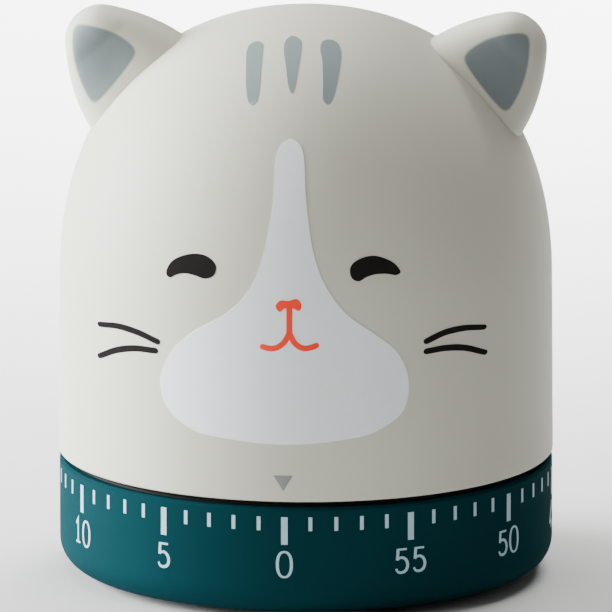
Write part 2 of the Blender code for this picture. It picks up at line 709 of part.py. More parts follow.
def gear_outline(teeth, module, addendum, dedendum, flank_steps):
    """An involute gear's edge, with the middle of a tooth on the +X axis."""
    pitch = teeth * module / 2
    base = pitch * math.cos(PRESSURE_ANGLE)
    root, tip = pitch - dedendum * module, pitch + addendum * module
    foot = max(root, base)
    at_base = (math.pi * module - 2 * BACKLASH) / (4 * pitch) + involute(PRESSURE_ANGLE)
    flank = []
    for i in range(flank_steps + 1):
        radius = foot + (tip - foot) * i / flank_steps
        flank.append((radius, at_base - involute(math.acos(base / radius))))
    if root < base:
        flank.insert(0, (root, at_base))
    points = []
    for tooth in range(teeth):
        middle = math.tau * tooth / teeth
        points += [polar(radius, middle - half) for radius, half in flank]
        points += [polar(radius, middle + half) for radius, half in reversed(flank)]
    return points


def wheel_outline(teeth, module):
    return gear_outline(teeth, module, WHEEL_ADDENDUM, LEAF_ADDENDUM + ROOT_ROOM, 1)


def pinion_outline(module):
    return gear_outline(PINION_LEAVES, module, LEAF_ADDENDUM, WHEEL_ADDENDUM + ROOT_ROOM, 2)


def ratchet_outline(teeth, tip, root, lead):
    """Saw teeth whose steep faces look back along the turn, counter-clockwise."""
    points = []
    for tooth in range(teeth):
        angle = math.tau * tooth / teeth
        points += [polar(tip, angle), polar(root, angle + lead)]
    return points


def in_mesh(wheel_turn, wheel_teeth, direction):
    """The turn that puts a pinion's gap over a wheel's tooth, along direction from the wheel's centre."""
    pitch = math.tau / wheel_teeth
    past = ((direction - wheel_turn) / pitch) % 1.0
    leaf = math.tau / PINION_LEAVES
    return direction + math.pi + past * leaf + leaf / 2


def windows(radius, ring, count=4):
    return [circle(radius, polar(ring, math.tau * (i + 0.5) / count), 10) for i in range(count)]


def make_arbor(name, axis, pinion_level, module, turn, wheel_teeth=0, wheel_level=0.0, wheel_turn=0.0):
    """An arbor with its pinion cut from the same bar, and the brass wheel that it carries."""
    low, high = LOWER_PLATE, UPPER_PLATE + PLATE_THICKNESS
    shaft = turned(
        f"{name}_arbor",
        stepped(
            (PIVOT_RADIUS, low, TRAIN_FLOOR + REST_GAP),
            (ARBOR_RADIUS, TRAIN_FLOOR + REST_GAP, UPPER_PLATE - REST_GAP),
            (PIVOT_RADIUS, UPPER_PLATE - REST_GAP, high),
        ),
        STEEL, parent=axis, sides=12,
    )
    leaves = stamped(
        f"{name}_leaves", [pinion_outline(module)], PINION_LENGTH, STEEL, parent=axis,
        level=TRAIN_FLOOR + pinion_level, turn=turn,
    )
    join(shaft, as_mesh(leaves))
    if wheel_teeth:
        make_wheel(f"{name}_wheel", axis, wheel_teeth, wheel_level, wheel_turn)
    return shaft


def make_wheel(name, axis, teeth, level, turn):
    rim = teeth * FINE_MODULE / 2
    holes = [circle(ARBOR_RADIUS + SEAT_GAP, sides=12)] + windows(rim / 5, rim * 0.55)
    stamped(
        name, [wheel_outline(teeth, FINE_MODULE)] + holes, WHEEL_THICKNESS, BRASS,
        parent=axis, level=TRAIN_FLOOR + level, turn=turn,
    )


def mid(level, thickness, length):
    """The level of a pinion of that length whose middle is a wheel's middle."""
    return level + (thickness - length) / 2


def heading(start, end):
    span = end - start
    return math.atan2(span.y, span.x)


def make_going_train(main_axis):
    """Main wheel to escape wheel: 8, 7.5 and 6 to one, so the escape wheel turns 360 times an hour."""
    make_main_wheel(main_axis)
    pinion_on_main = mid(MAIN_LEVEL, MAIN_WHEEL_THICKNESS, PINION_LENGTH)
    pinion_on_fast = mid(FAST_LEVEL, WHEEL_THICKNESS, PINION_LENGTH) + REST_GAP / 2
    pinion_on_third = mid(THIRD_LEVEL, WHEEL_THICKNESS, PINION_LENGTH)

    second_axis = axis_at("second_axis", SECOND_SPOT)
    towards_third = heading(SECOND_SPOT, THIRD_SPOT)
    make_arbor(
        "second", second_axis, pinion_on_main, MAIN_MODULE, in_mesh(0.0, MAIN_TEETH, SECOND_ANGLE),
        SECOND_TEETH, FAST_LEVEL, towards_third,
    )
    third_axis = axis_at("third_axis", THIRD_SPOT)
    towards_escape = heading(THIRD_SPOT, ESCAPE_SPOT)
    make_arbor(
        "third", third_axis, pinion_on_fast, FINE_MODULE, in_mesh(towards_third, SECOND_TEETH, towards_third),
        THIRD_TEETH, THIRD_LEVEL, towards_escape,
    )
    escape_axis = axis_at("escape_axis", ESCAPE_SPOT)
    make_arbor(
        "escape", escape_axis, pinion_on_third, FINE_MODULE,
        in_mesh(towards_escape, THIRD_TEETH, towards_escape),
    )
    make_toothed_disc("escape_wheel", escape_axis, ESCAPE_TEETH, ESCAPE_RADIUS, 0.3)


def make_striking_train():
    """Main wheel to star wheel: 8 and 6 to one, and twelve blows to a turn of the star."""
    alarm_axis = axis_at("alarm_axis", ALARM_SPOT)
    towards_striker = heading(ALARM_SPOT, STRIKER_SPOT)
    make_arbor(
        "alarm", alarm_axis, mid(MAIN_LEVEL, MAIN_WHEEL_THICKNESS, PINION_LENGTH), MAIN_MODULE,
        in_mesh(0.0, MAIN_TEETH, ALARM_ANGLE), ALARM_TEETH, FAST_LEVEL, towards_striker,
    )
    striker_axis = axis_at("striker_axis", STRIKER_SPOT)
    make_arbor(
        "striker", striker_axis, mid(FAST_LEVEL, WHEEL_THICKNESS, PINION_LENGTH) + REST_GAP / 2, FINE_MODULE,
        in_mesh(towards_striker, ALARM_TEETH, towards_striker),
    )
    make_toothed_disc("star_wheel", striker_axis, STAR_TEETH, STAR_RADIUS, 0.5)


def make_toothed_disc(name, axis, teeth, radius, lead_share):
    """A disc with pointed teeth, for the escapement or the hammer."""
    pitch = math.tau / teeth
    outline = ratchet_outline(teeth, radius, 0.78 * radius, lead_share * pitch)
    holes = [circle(ARBOR_RADIUS + SEAT_GAP, sides=12)] + windows(radius / 6, radius * 0.45)
    stamped(name, [outline] + holes, WHEEL_THICKNESS, BRASS, parent=axis, level=TRAIN_FLOOR + ESCAPE_LEVEL)


# Main arbor: wheel, ratchet, click and spring

def make_main_wheel(axis):
    """The loose main wheel with its click, which catches the ratchet while the spring runs down."""
    rim = MAIN_TEETH * MAIN_MODULE / 2
    bore = circle(ARBOR_BODY_RADIUS + RUNNING_GAP, sides=24)
    rivet_hole = circle(CLICK_RIVET_RADIUS + SEAT_GAP, polar(CLICK_PIVOT_REACH, 0.0), 12)
    stamped(
        "main_wheel", [wheel_outline(MAIN_TEETH, MAIN_MODULE), bore, rivet_hole], MAIN_WHEEL_THICKNESS, BRASS,
        parent=axis, level=TRAIN_FLOOR + MAIN_LEVEL,
    )
    click_axis = axis_at("click_axis", (CLICK_PIVOT_REACH, 0.0), axis)
    nose = polar(RATCHET_RADIUS, math.radians(42)) - polar(CLICK_PIVOT_REACH, 0.0)
    click_level = TRAIN_FLOOR + RATCHET_LEVEL
    hole = circle(CLICK_RIVET_RADIUS + RUNNING_GAP, sides=12)
    stamped(
        "click", [link_outline((0.0, 0.0), CLICK_HUB_RADIUS, nose, CLICK_NOSE_RADIUS), hole],
        0.8 * RATCHET_THICKNESS, STEEL, parent=click_axis, level=click_level,
    )
    low = TRAIN_FLOOR + MAIN_LEVEL
    head = click_level + 0.8 * RATCHET_THICKNESS + SEAT_GAP
    turned(
        "click_rivet",
        stepped(
            (CLICK_RIVET_RADIUS, low, head),
            (CLICK_RIVET_HEAD_RADIUS, head, head + CLICK_RIVET_HEAD_HEIGHT),
        ),
        STEEL, parent=axis, at=(CLICK_PIVOT_REACH, 0.0), sides=12,
    )
    bow = arc((0.0, 0.0), rim - CLICK_SPRING_INSET, math.radians(14), math.radians(74), 8)
    wire(
        "click_spring", [(x, y, 0.0) for x, y in bow], CLICK_SPRING_RADIUS, SPRING_STEEL, parent=axis,
        level=low + MAIN_WHEEL_THICKNESS + CLICK_SPRING_RADIUS + RUNNING_GAP,
    )


def make_main_arbor(axis):
    """The steel bar from the lower plate to the head's hub, with a flat that the hub fits."""
    foot_top = TRAIN_FLOOR + REST_GAP
    body_top = UPPER_PLATE - REST_GAP
    top = HUB_BOTTOM + HUB_HEIGHT + REST_GAP
    bar = turned(
        "main_arbor",
        stepped(
            (ARBOR_FOOT_RADIUS, LOWER_PLATE - REST_GAP, foot_top),
            (ARBOR_BODY_RADIUS, foot_top, body_top),
            (ARBOR_DRIVE_RADIUS, body_top, top),
        ),
        STEEL, parent=axis, sides=24,
    )
    flat_from = HUB_BOTTOM - REST_GAP
    edge = ARBOR_DRIVE_RADIUS - ARBOR_FLAT_DEPTH
    size = (ARBOR_DRIVE_RADIUS, 3 * ARBOR_DRIVE_RADIUS, top - flat_from + 2 * MM)
    centre = (edge + size[0] / 2, 0.0, flat_from + size[2] / 2)
    cut(bar, block("arbor_flat", size, centre, parent=axis))
    turned_on = ARBOR_BODY_RADIUS + SEAT_GAP
    pitch = math.tau / RATCHET_TEETH
    stamped(
        "ratchet_wheel",
        [ratchet_outline(RATCHET_TEETH, RATCHET_RADIUS - REST_GAP, 0.8 * RATCHET_RADIUS, 0.15 * pitch),
         circle(turned_on, sides=24)],
        RATCHET_THICKNESS, STEEL, parent=axis, level=TRAIN_FLOOR + RATCHET_LEVEL,
    )


def spring_path():
    """The mainspring's line seen from above: the coil, the tail and the eye round a pillar."""
    inner = ARBOR_BODY_RADIUS + SPRING_THICKNESS
    post = polar(PILLAR_RING, PILLAR_ANGLES[2])
    leave = PILLAR_ANGLES[2] - math.radians(58)
    steps = 16 * SPRING_TURNS
    coil = []
    for i in range(steps + 1):
        share = i / steps
        turn = leave - math.tau * SPRING_TURNS * (1 - share)
        coil.append(polar(inner + (SPRING_OUTER - inner) * share, turn))
    eye = PILLAR_RADIUS + REST_GAP + SPRING_THICKNESS / 2
    first = coil[-1]
    start = heading(first, post) - math.pi / 2
    catch = post + polar(eye, start)
    reach = (catch - first).length / 3
    out = first + polar(reach, leave + math.pi / 2)
    back = catch - polar(reach, start + math.pi / 2)
    tail = []
    for i in range(1, 10):
        t = i / 10
        tail.append(
            (1 - t) ** 3 * first + 3 * t * (1 - t) ** 2 * out + 3 * t**2 * (1 - t) * back + t**3 * catch
        )
    return coil + tail + arc(post, eye, start, start + math.radians(250), 10)


def make_mainspring():
    """The spring as a strip on edge, with Solidify giving the steel its thickness."""
    strip = bpy.data.curves.new("mainspring", "CURVE")
    strip.dimensions = "2D"
    strip.fill_mode = "NONE"
    strip.extrude = SPRING_WIDTH / 2
    points = spring_path()
    spline = strip.splines.new("POLY")
    spline.points.add(len(points) - 1)
    for point, (x, y) in zip(spline.points, points):
        point.co = (x, y, 0.0, 1.0)
    made = bpy.data.objects.new("mainspring", strip)
    PARTS.objects.link(made)
    place(made, SPRING_STEEL, None, (0.0, 0.0), TRAIN_FLOOR + SPRING_LEVEL + SPRING_WIDTH / 2, 0.0)
    made = as_mesh(made)
    steel = made.modifiers.new("thickness", "SOLIDIFY")
    steel.thickness = SPRING_THICKNESS
    steel.offset = 0.0


# Escapement and hammer

def make_staff(name, axis, low, high):
    turned(
        name, stepped((STAFF_RADIUS, low, high)), STEEL, parent=axis, sides=12
    )


def make_escapement():
    """The pin-pallet lever and its balance weight on one staff."""
    axis = axis_at("pallet_axis", PALLET_SPOT)
    make_staff("pallet_staff", axis, LOWER_PLATE, FRAME_TOP)
    lever_level = TRAIN_FLOOR + ESCAPE_LEVEL + WHEEL_THICKNESS + REST_GAP
    pins = []
    towards = heading(ESCAPE_SPOT, PALLET_SPOT)
    ring = ESCAPE_RADIUS + PALLET_PIN_RADIUS + PALLET_PIN_CLEARANCE
    for side in (-1, 1):
        pins.append(ESCAPE_SPOT + polar(ring, towards + side * PALLET_SPREAD) - PALLET_SPOT)
    arms = [
        as_mesh(stamped(
            f"pallet_arm_{i}", [link_outline((0.0, 0.0), PALLET_HUB_RADIUS, pin, PALLET_END_RADIUS)],
            WHEEL_THICKNESS, STEEL, parent=axis, level=lever_level,
        ))
        for i, pin in enumerate(pins)
    ]
    lever = arms[0]
    lever.name = "pallet_lever"
    join(lever, arms[1])
    low, high = TRAIN_FLOOR + ESCAPE_LEVEL - REST_GAP, lever_level + WHEEL_THICKNESS / 2
    for i, pin in enumerate(pins):
        join(lever, cylinder(f"pallet_pin_{i}", PALLET_PIN_RADIUS, low, high, axis, pin, 8))
    bore = cylinder("pallet_bore", STAFF_RADIUS + SEAT_GAP, TRAIN_FLOOR, UPPER_PLATE, axis, sides=12)
    cut(lever, bore)
    across = polar(BALANCE_ARM, PALLET_ANGLE + math.pi / 2)
    stamped(
        "balance_weight",
        [link_outline(-across, BALANCE_END_RADIUS, across, BALANCE_END_RADIUS),
         circle(STAFF_RADIUS + SEAT_GAP, sides=12)],
        BALANCE_THICKNESS, BRASS, parent=axis, level=lever_level + WHEEL_THICKNESS + REST_GAP,
    )


def make_hammer():
    """The striker: a pallet beside the star wheel, and below the plate an arm with a head beside the bell."""
    axis = axis_at("hammer_axis", HAMMER_SPOT)
    arm_level = LOWER_PLATE - REST_GAP - WHEEL_THICKNESS
    make_staff("hammer_staff", axis, arm_level - REST_GAP, FRAME_TOP)
    towards_star = heading(HAMMER_SPOT, STRIKER_SPOT)
    room = (STRIKER_SPOT - HAMMER_SPOT).length - STAR_RADIUS - 2 * REST_GAP
    nose = polar(room - HAMMER_NOSE_RADIUS, towards_star)
    hole = circle(STAFF_RADIUS + SEAT_GAP, sides=12)
    stamped(
        "hammer_pallet",
        [link_outline((0.0, 0.0), HAMMER_HUB_RADIUS, nose, HAMMER_NOSE_RADIUS), hole],
        WHEEL_THICKNESS, STEEL, parent=axis, level=TRAIN_FLOOR + ESCAPE_LEVEL,
    )
    ring = BELL_RADIUS + HAMMER_REST_GAP + HAMMER_HEAD_RADIUS
    spot = polar(ring, HAMMER_HEAD_ANGLE) - HAMMER_SPOT
    eye = HAMMER_HEAD_RADIUS / 2
    stamped(
        "hammer_arm",
        [link_outline((0.0, 0.0), HAMMER_HUB_RADIUS, spot, HAMMER_HEAD_RADIUS), hole,
         circle(eye + SEAT_GAP, spot, 12)],
        WHEEL_THICKNESS, SPRING_STEEL, parent=axis, level=arm_level,
    )
    under = arm_level - REST_GAP
    turned(
        "hammer_head",
        stepped(
            (HAMMER_HEAD_RADIUS, under - HAMMER_HEAD_HEIGHT, under), (eye, under, arm_level + WHEEL_THICKNESS)
        ),
        BRASS, parent=axis, at=spot, sides=SMALL_ROUND,
    )


# Above the upper plate

def make_zero_stop(main_axis):
    """The notched cam that frees the hammer at zero, its lever, and the arm and post that end the turn."""
    half = math.asin(CAM_NOTCH_WIDTH / 2 / CAM_RADIUS)
    notch_floor = CAM_RADIUS - CAM_NOTCH_DEPTH
    outline = arc((0.0, 0.0), CAM_RADIUS, half, math.tau - half, 40)
    outline += [(notch_floor, -CAM_NOTCH_WIDTH / 2), (notch_floor, CAM_NOTCH_WIDTH / 2)]
    seat = circle(ARBOR_DRIVE_RADIUS + SEAT_GAP, sides=24)
    stamped(
        "zero_cam", [outline, seat], CAM_THICKNESS, BRASS, parent=main_axis, level=CAM_BOTTOM,
        turn=LEVER_NOSE_ANGLE,
    )
    shadow = math.asin(STOP_POST_RADIUS / STOP_REACH) + math.asin(STOP_ARM_RADIUS / STOP_REACH)
    rest_turn = STOP_ANGLE - shadow - STOP_FLANK_GAP / STOP_REACH
    hub = ARBOR_DRIVE_RADIUS + STOP_HUB_WALL
    stamped(
        "stop_arm",
        [link_outline((0.0, 0.0), hub, (STOP_REACH, 0.0), STOP_ARM_RADIUS, 10), seat],
        STOP_ARM_THICKNESS, STEEL, parent=main_axis, level=STOP_ARM_BOTTOM, turn=rest_turn,
    )
    post = polar(STOP_REACH, STOP_ANGLE)
    turned(
        "stop_post", stepped((STOP_POST_RADIUS, UPPER_PLATE, STOP_ARM_BOTTOM + STOP_ARM_THICKNESS)), STEEL,
        at=post, sides=12,
    )
    pivot = polar(LEVER_PIVOT_REACH, LEVER_PIVOT_ANGLE)
    axis = axis_at("release_axis", pivot)
    nose = polar(CAM_RADIUS + REST_GAP + LEVER_NOSE_RADIUS, LEVER_NOSE_ANGLE) - pivot
    hole = circle(STAFF_RADIUS + RUNNING_GAP, sides=12)
    stamped(
        "release_lever", [link_outline((0.0, 0.0), LEVER_BOSS_RADIUS, nose, LEVER_NOSE_RADIUS), hole],
        CAM_THICKNESS / 2, STEEL, parent=axis, level=CAM_BOTTOM + CAM_THICKNESS / 4,
    )
    head = CAM_BOTTOM + CAM_THICKNESS * 0.75 + REST_GAP
    turned(
        "release_pivot",
        stepped((STAFF_RADIUS, UPPER_PLATE, head), (LEVER_BOSS_RADIUS, head, head + 0.6 * MM)),
        STEEL, at=pivot, sides=12,
    )


# The head

def head_screw_spots():
    """Where the hub plate is screwed to the head's bosses."""
    ring = HEAD_INNER - HEAD_SCREW_RING_INSET
    return [polar(ring, HEAD_SCREW_START + math.tau * i / PILLAR_COUNT) for i in range(PILLAR_COUNT)]


def make_hub_plate(head_axis):
    """The white plate screwed into the head, whose hub takes the main arbor."""
    disc = circle(HEAD_INNER - HUB_PLATE_PLAY, sides=BIG_ROUND)
    screw_hole = HEAD_SCREW_RADIUS + 2 * RUNNING_GAP
    holes = [circle(screw_hole, spot, 12) for spot in head_screw_spots()]
    window_ring = (HEAD_INNER + HUB_RADIUS) / 2
    for i in range(PILLAR_COUNT):
        angle = HEAD_SCREW_START + math.tau * (i + 0.5) / PILLAR_COUNT
        holes.append(circle(HUB_WINDOW_RADIUS, polar(window_ring, angle)))
    plate = as_mesh(stamped(
        "hub_plate", [disc] + holes, HUB_PLATE_THICKNESS, HUB_WHITE, parent=head_axis, level=HUB_PLATE
    ))
    join(plate, cylinder("hub", HUB_RADIUS, HUB_BOTTOM, HUB_BOTTOM + HUB_HEIGHT, head_axis, sides=24))
    bore_radius = ARBOR_DRIVE_RADIUS + SEAT_GAP
    bore_top = HUB_BOTTOM + HUB_HEIGHT + 1 * MM
    bore = cylinder("hub_bore", bore_radius, HUB_BOTTOM - 1 * MM, bore_top, head_axis, sides=24)
    edge = ARBOR_DRIVE_RADIUS - ARBOR_FLAT_DEPTH + SEAT_GAP
    size = (2 * ARBOR_DRIVE_RADIUS, 3 * ARBOR_DRIVE_RADIUS, 2 * HUB_HEIGHT)
    cut(bore, block("hub_flat", size, (edge + size[0] / 2, 0.0, HUB_BOTTOM + HUB_HEIGHT / 2), head_axis))
    cut(plate, bore)
    for i, spot in enumerate(head_screw_spots()):
        face = HUB_PLATE - REST_GAP
        screw = turned(
            f"hub_screw_{i + 1}",
            stepped(
                (HEAD_SCREW_HEAD_RADIUS, face - HEAD_SCREW_HEAD_HEIGHT, face),
                (HEAD_SCREW_RADIUS, face, face + HEAD_SCREW_GRIP),
            ),
            STEEL, parent=head_axis, at=spot, sides=12,
        )
        cross_slot(screw, HEAD_SCREW_HEAD_RADIUS, face - HEAD_SCREW_HEAD_HEIGHT, HEAD_SCREW_HEAD_HEIGHT, i)


def make_head_shell(head_axis):
    """The hollow dome with three screw bosses inside and a hole for each ear's peg."""
    outline = dome_outline()
    inside = dome_outline(-HEAD_WALL, 9)
    shell = turned("head_shell", outline + inside[::-1], SHELL_GREY, parent=head_axis, sides=BIG_ROUND)
    for i, spot in enumerate(head_screw_spots()):
        boss_bottom = HUB_PLATE + HUB_PLATE_THICKNESS + REST_GAP
        reach = spot.length + HEAD_BOSS_RADIUS
        roof = roof_height(reach, HEAD_WALL / 2)
        join(shell, cylinder(f"head_boss_{i}", HEAD_BOSS_RADIUS, boss_bottom, roof, head_axis, spot))
        tap = HEAD_SCREW_RADIUS + RUNNING_GAP
        deep = HUB_PLATE + HEAD_SCREW_GRIP + 2 * REST_GAP
        cut(shell, cylinder(f"head_tap_{i}", tap, boss_bottom - 1 * MM, deep, head_axis, spot, 12))
    for side in (-1, 1):
        hole_radius = EAR_PEG_RADIUS + RUNNING_GAP
        cut(shell, ear_peg(f"ear_hole_{side}", head_axis, side, hole_radius, 2 * EAR_PEG_LENGTH))


def roof_height(reach, depth):
    """The height of the dome at a distance from its axis, measured depth below its surface."""
    points = dome_outline(-depth, 60)
    for (x0, z0), (x1, z1) in zip(points, points[1:]):
        if x0 <= reach <= x1:
            return z0 + (z1 - z0) * (reach - x0) / (x1 - x0)
    return points[-2][1]


def ear_seat(side):
    """The middle of an ear's seat on the dome, and the ways across the ear and out along it."""
    points = [Vector((x, 0.0, z)) for x, z in dome_outline(0.0, 60)]
    seat = points[-1]
    for one, two in zip(points, points[1:]):
        if math.atan2(one.z - two.z, two.x - one.x) >= EAR_SEAT_LEAN:
            seat = one
            break
    seat.x *= side
    outward = Vector((side * math.sin(EAR_LEAN), 0.0, math.cos(EAR_LEAN)))
    across = Vector((outward.z, 0.0, -outward.x))
    return seat, across, outward


def ear_peg(name, axis, side, radius, length):
    """A round peg across the head's wall under the middle of an ear."""
    seat = ear_seat(side)[0]
    made = cylinder(name, radius, -length / 2, length / 2, axis, sides=EAR_PEG_SIDES)
    made.location = seat
    made.rotation_euler.y = side * EAR_LEAN
    return made


def ear_sections():
    """Each section's place along the ear, half width and half thickness, from the sunk end to the tip."""
    tip_end = EAR_TIP_RADIUS * math.sin(EAR_FLANK_ANGLE)
    thicken = (EAR_SEAT_DEPTH - EAR_TIP_DEPTH) / EAR_REACH
    sections = []
    for below in (EAR_REACH + EAR_SINK, EAR_REACH, EAR_REACH / 2, 0.0):
        past = below + tip_end
        side = EAR_TIP_RADIUS * math.cos(EAR_FLANK_ANGLE)
        side += math.tan(EAR_FLANK_ANGLE) * past - EAR_FLANK_CURVE * past**2
        sections.append((EAR_REACH - below, side, EAR_TIP_DEPTH + thicken * below))
    for angle in (math.pi / 2 - EAR_FLANK_ANGLE, math.radians(34), math.radians(17)):
        share = math.sin(angle)
        sections.append(
            (EAR_REACH + EAR_TIP_RADIUS * math.cos(angle), share * EAR_TIP_RADIUS, share * EAR_TIP_DEPTH)
        )
    return sections


def make_ear(name, head_axis, side):
    """An ear, lofted along its middle line and cut to the dome, with a peg through the head's wall."""
    seat, across, outward = ear_seat(side)
    work = bmesh.new()
    rings = []
    for along, half_width, half_depth in ear_sections():
        ring = []
        for x, y in circle(1.0, sides=20):
            wide = math.copysign(abs(x) ** (2 / EAR_SQUARENESS), x) * half_width
            deep = math.copysign(abs(y) ** (2 / EAR_SQUARENESS), y) * half_depth
            ring.append(work.verts.new(seat + along * outward + wide * across + Vector((0.0, deep, 0.0))))
        rings.append(ring)
    tip = work.verts.new(seat + (EAR_REACH + EAR_TIP_RADIUS) * outward)
    for one, two in zip(rings, rings[1:]):
        for i in range(len(one)):
            j = (i + 1) % len(one)
            work.faces.new((one[i], one[j], two[j], two[i]))
    for i in range(len(ring)):
        work.faces.new((ring[i], ring[(i + 1) % len(ring)], tip))
    work.faces.new(rings[0][::-1])
    mesh = bpy.data.meshes.new(name)
    work.to_mesh(mesh)
    work.free()
    mesh.shade_smooth()
    made = bpy.data.objects.new(name, mesh)
    PARTS.objects.link(made)
    place(made, SHELL_GREY, head_axis, (0.0, 0.0), 0.0, 0.0)
    bed_outline = dome_outline(SEAT_GAP) + [(0.0, HEAD_BOTTOM)]
    bed = turned(f"{name}_bed", bed_outline, SHELL_GREY, parent=head_axis, sides=BIG_ROUND)
    cut(made, bed)
    join(made, ear_peg(f"{name}_peg", head_axis, side, EAR_PEG_RADIUS, EAR_PEG_LENGTH))


def main():
    make_feet()
    make_base_cup()
    make_glide_ring()
    make_case_screws()
    make_bell()
    make_frame()
    head_axis = axis_at("head_axis")
    main_axis = axis_at("main_wheel_axis")
    make_going_train(main_axis)
    make_striking_train()
    make_main_arbor(head_axis)
    make_mainspring()
    make_escapement()
    make_hammer()
    make_zero_stop(head_axis)
    make_hub_plate(head_axis)
    make_head_shell(head_axis)
    for name, side in (("left_ear", -1), ("right_ear", 1)):
        make_ear(name, head_axis, side)


main()
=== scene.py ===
"""A cat-headed kitchen timer, finished for show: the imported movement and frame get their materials, and the
head, ears, base, feet and screws get fine surfaces.  Millimetres are written as 1 * MM."""

import bisect
import json
import math

import bmesh
import bpy
from mathutils import Matrix, Vector
from mathutils.geometry import delaunay_2d_cdt


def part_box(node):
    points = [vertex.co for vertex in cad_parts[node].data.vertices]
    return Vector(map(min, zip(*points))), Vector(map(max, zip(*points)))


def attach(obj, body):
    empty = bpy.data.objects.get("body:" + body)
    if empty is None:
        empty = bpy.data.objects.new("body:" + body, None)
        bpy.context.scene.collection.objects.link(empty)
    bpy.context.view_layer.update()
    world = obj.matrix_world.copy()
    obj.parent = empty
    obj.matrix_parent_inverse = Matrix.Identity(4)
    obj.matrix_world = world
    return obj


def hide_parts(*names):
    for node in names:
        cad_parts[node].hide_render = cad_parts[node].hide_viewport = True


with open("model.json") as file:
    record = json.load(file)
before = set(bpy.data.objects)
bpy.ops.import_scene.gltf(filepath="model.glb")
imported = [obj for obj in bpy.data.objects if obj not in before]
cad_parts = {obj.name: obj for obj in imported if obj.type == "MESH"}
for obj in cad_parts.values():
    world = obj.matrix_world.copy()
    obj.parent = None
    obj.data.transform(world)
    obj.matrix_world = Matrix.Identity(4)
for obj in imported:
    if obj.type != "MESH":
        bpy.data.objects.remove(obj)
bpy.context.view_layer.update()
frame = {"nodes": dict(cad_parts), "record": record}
MM = 0.001

# ----------------------------------------
# Camera and lights: a small still life on a pale table.  The main light is a large soft one, to the left and
# a little behind; a weaker one stands in front on that side, one hangs above and one lights the table behind.

VIEW_TURN = math.radians(5.0)  # towards +X of the face
VIEW_RISE = math.radians(12.65)
VIEW_DISTANCE = 3400 * MM
VIEW_WIDTH = 80.7 * MM  # what the frame takes in at the timer
VIEW_CENTRE = Vector((0.0, 0.0, 35.35 * MM))

KEY_POWER = 37.0  # the lights in watts, and their places below in metres
FRONT_POWER = 1.8
TOP_POWER = 2.3
BACK_POWER = 7.0
ROOM_LIGHT = 0.15
DAYLIGHT = (0.97, 1.0, 1.0)
WARM_ROOM = (1.0, 0.985, 0.94)


def look_at(thing, target):
    thing.rotation_euler = (target - thing.location).to_track_quat("-Z", "Y").to_euler()


lens = bpy.data.cameras.new("camera")
lens.sensor_width = 36.0
lens.lens = lens.sensor_width * VIEW_DISTANCE / VIEW_WIDTH
lens.clip_start, lens.clip_end = 0.01, 20.0
camera = bpy.data.objects.new("camera", lens)
bpy.context.scene.collection.objects.link(camera)
camera.location = VIEW_CENTRE + VIEW_DISTANCE * Vector((
    math.cos(VIEW_RISE) * math.sin(VIEW_TURN),
    -math.cos(VIEW_RISE) * math.cos(VIEW_TURN),
    math.sin(VIEW_RISE),
))
look_at(camera, VIEW_CENTRE)
bpy.context.scene.camera = camera


def soft_light(name, place, size, power, colour=(1.0, 1.0, 1.0), aim=VIEW_CENTRE, spread=180):
    lamp = bpy.data.lights.new(name, "AREA")
    lamp.shape = "RECTANGLE"
    lamp.size, lamp.size_y = size
    lamp.energy = power
    lamp.color = colour
    lamp.spread = math.radians(spread)
    thing = bpy.data.objects.new(name, lamp)
    thing.location = place
    bpy.context.scene.collection.objects.link(thing)
    look_at(thing, aim)


soft_light("window_left", Vector((-0.80, 0.11, 0.25)), (0.55, 0.55), KEY_POWER, DAYLIGHT)
soft_light("top_panel", Vector((-0.10, 0.05, 0.60)), (0.5, 0.5), TOP_POWER)
soft_light("front_panel", Vector((-0.50, -0.52, 0.40)), (0.4, 0.4), FRONT_POWER)
table_behind = Vector((0.0, 0.42, 0.0))
lamp_behind = Vector((0.15, 0.42, 0.50))
soft_light("floor_behind", lamp_behind, (0.3, 0.3), BACK_POWER, aim=table_behind, spread=80)

room = bpy.data.worlds.new("room")
room.use_nodes = True
sky = room.node_tree.nodes["Background"]
sky.inputs["Color"].default_value = (*WARM_ROOM, 1.0)
sky.inputs["Strength"].default_value = ROOM_LIGHT
bpy.context.scene.world = room


# ----------------------------------------
# Head shell: the knob, one hollow moulding of ABS with a soft-touch lacquer.  Three bosses hang inside it,
# for the screws of the hub plate that joins it to the movement's main arbor.

class Value:
    """A shader socket that Python arithmetic can be done with.  Each operation adds a Math node."""

    def __init__(self, finish, socket):
        self.finish = finish
        self.socket = socket

    def maths(self, operation, *others):
        values = {0: self}
        values.update({i + 1: other for i, other in enumerate(others)})
        return self.finish.node("ShaderNodeMath", {"operation": operation}, values)

    def __add__(self, other):
        return self.maths("ADD", other)

    def __sub__(self, other):
        return self.maths("SUBTRACT", other)

    def __mul__(self, other):
        return self.maths("MULTIPLY", other)

    def __rsub__(self, other):
        return (self * -1.0) + other

    __radd__ = __add__
    __rmul__ = __mul__

    def size(self):
        return self.maths("ABSOLUTE")


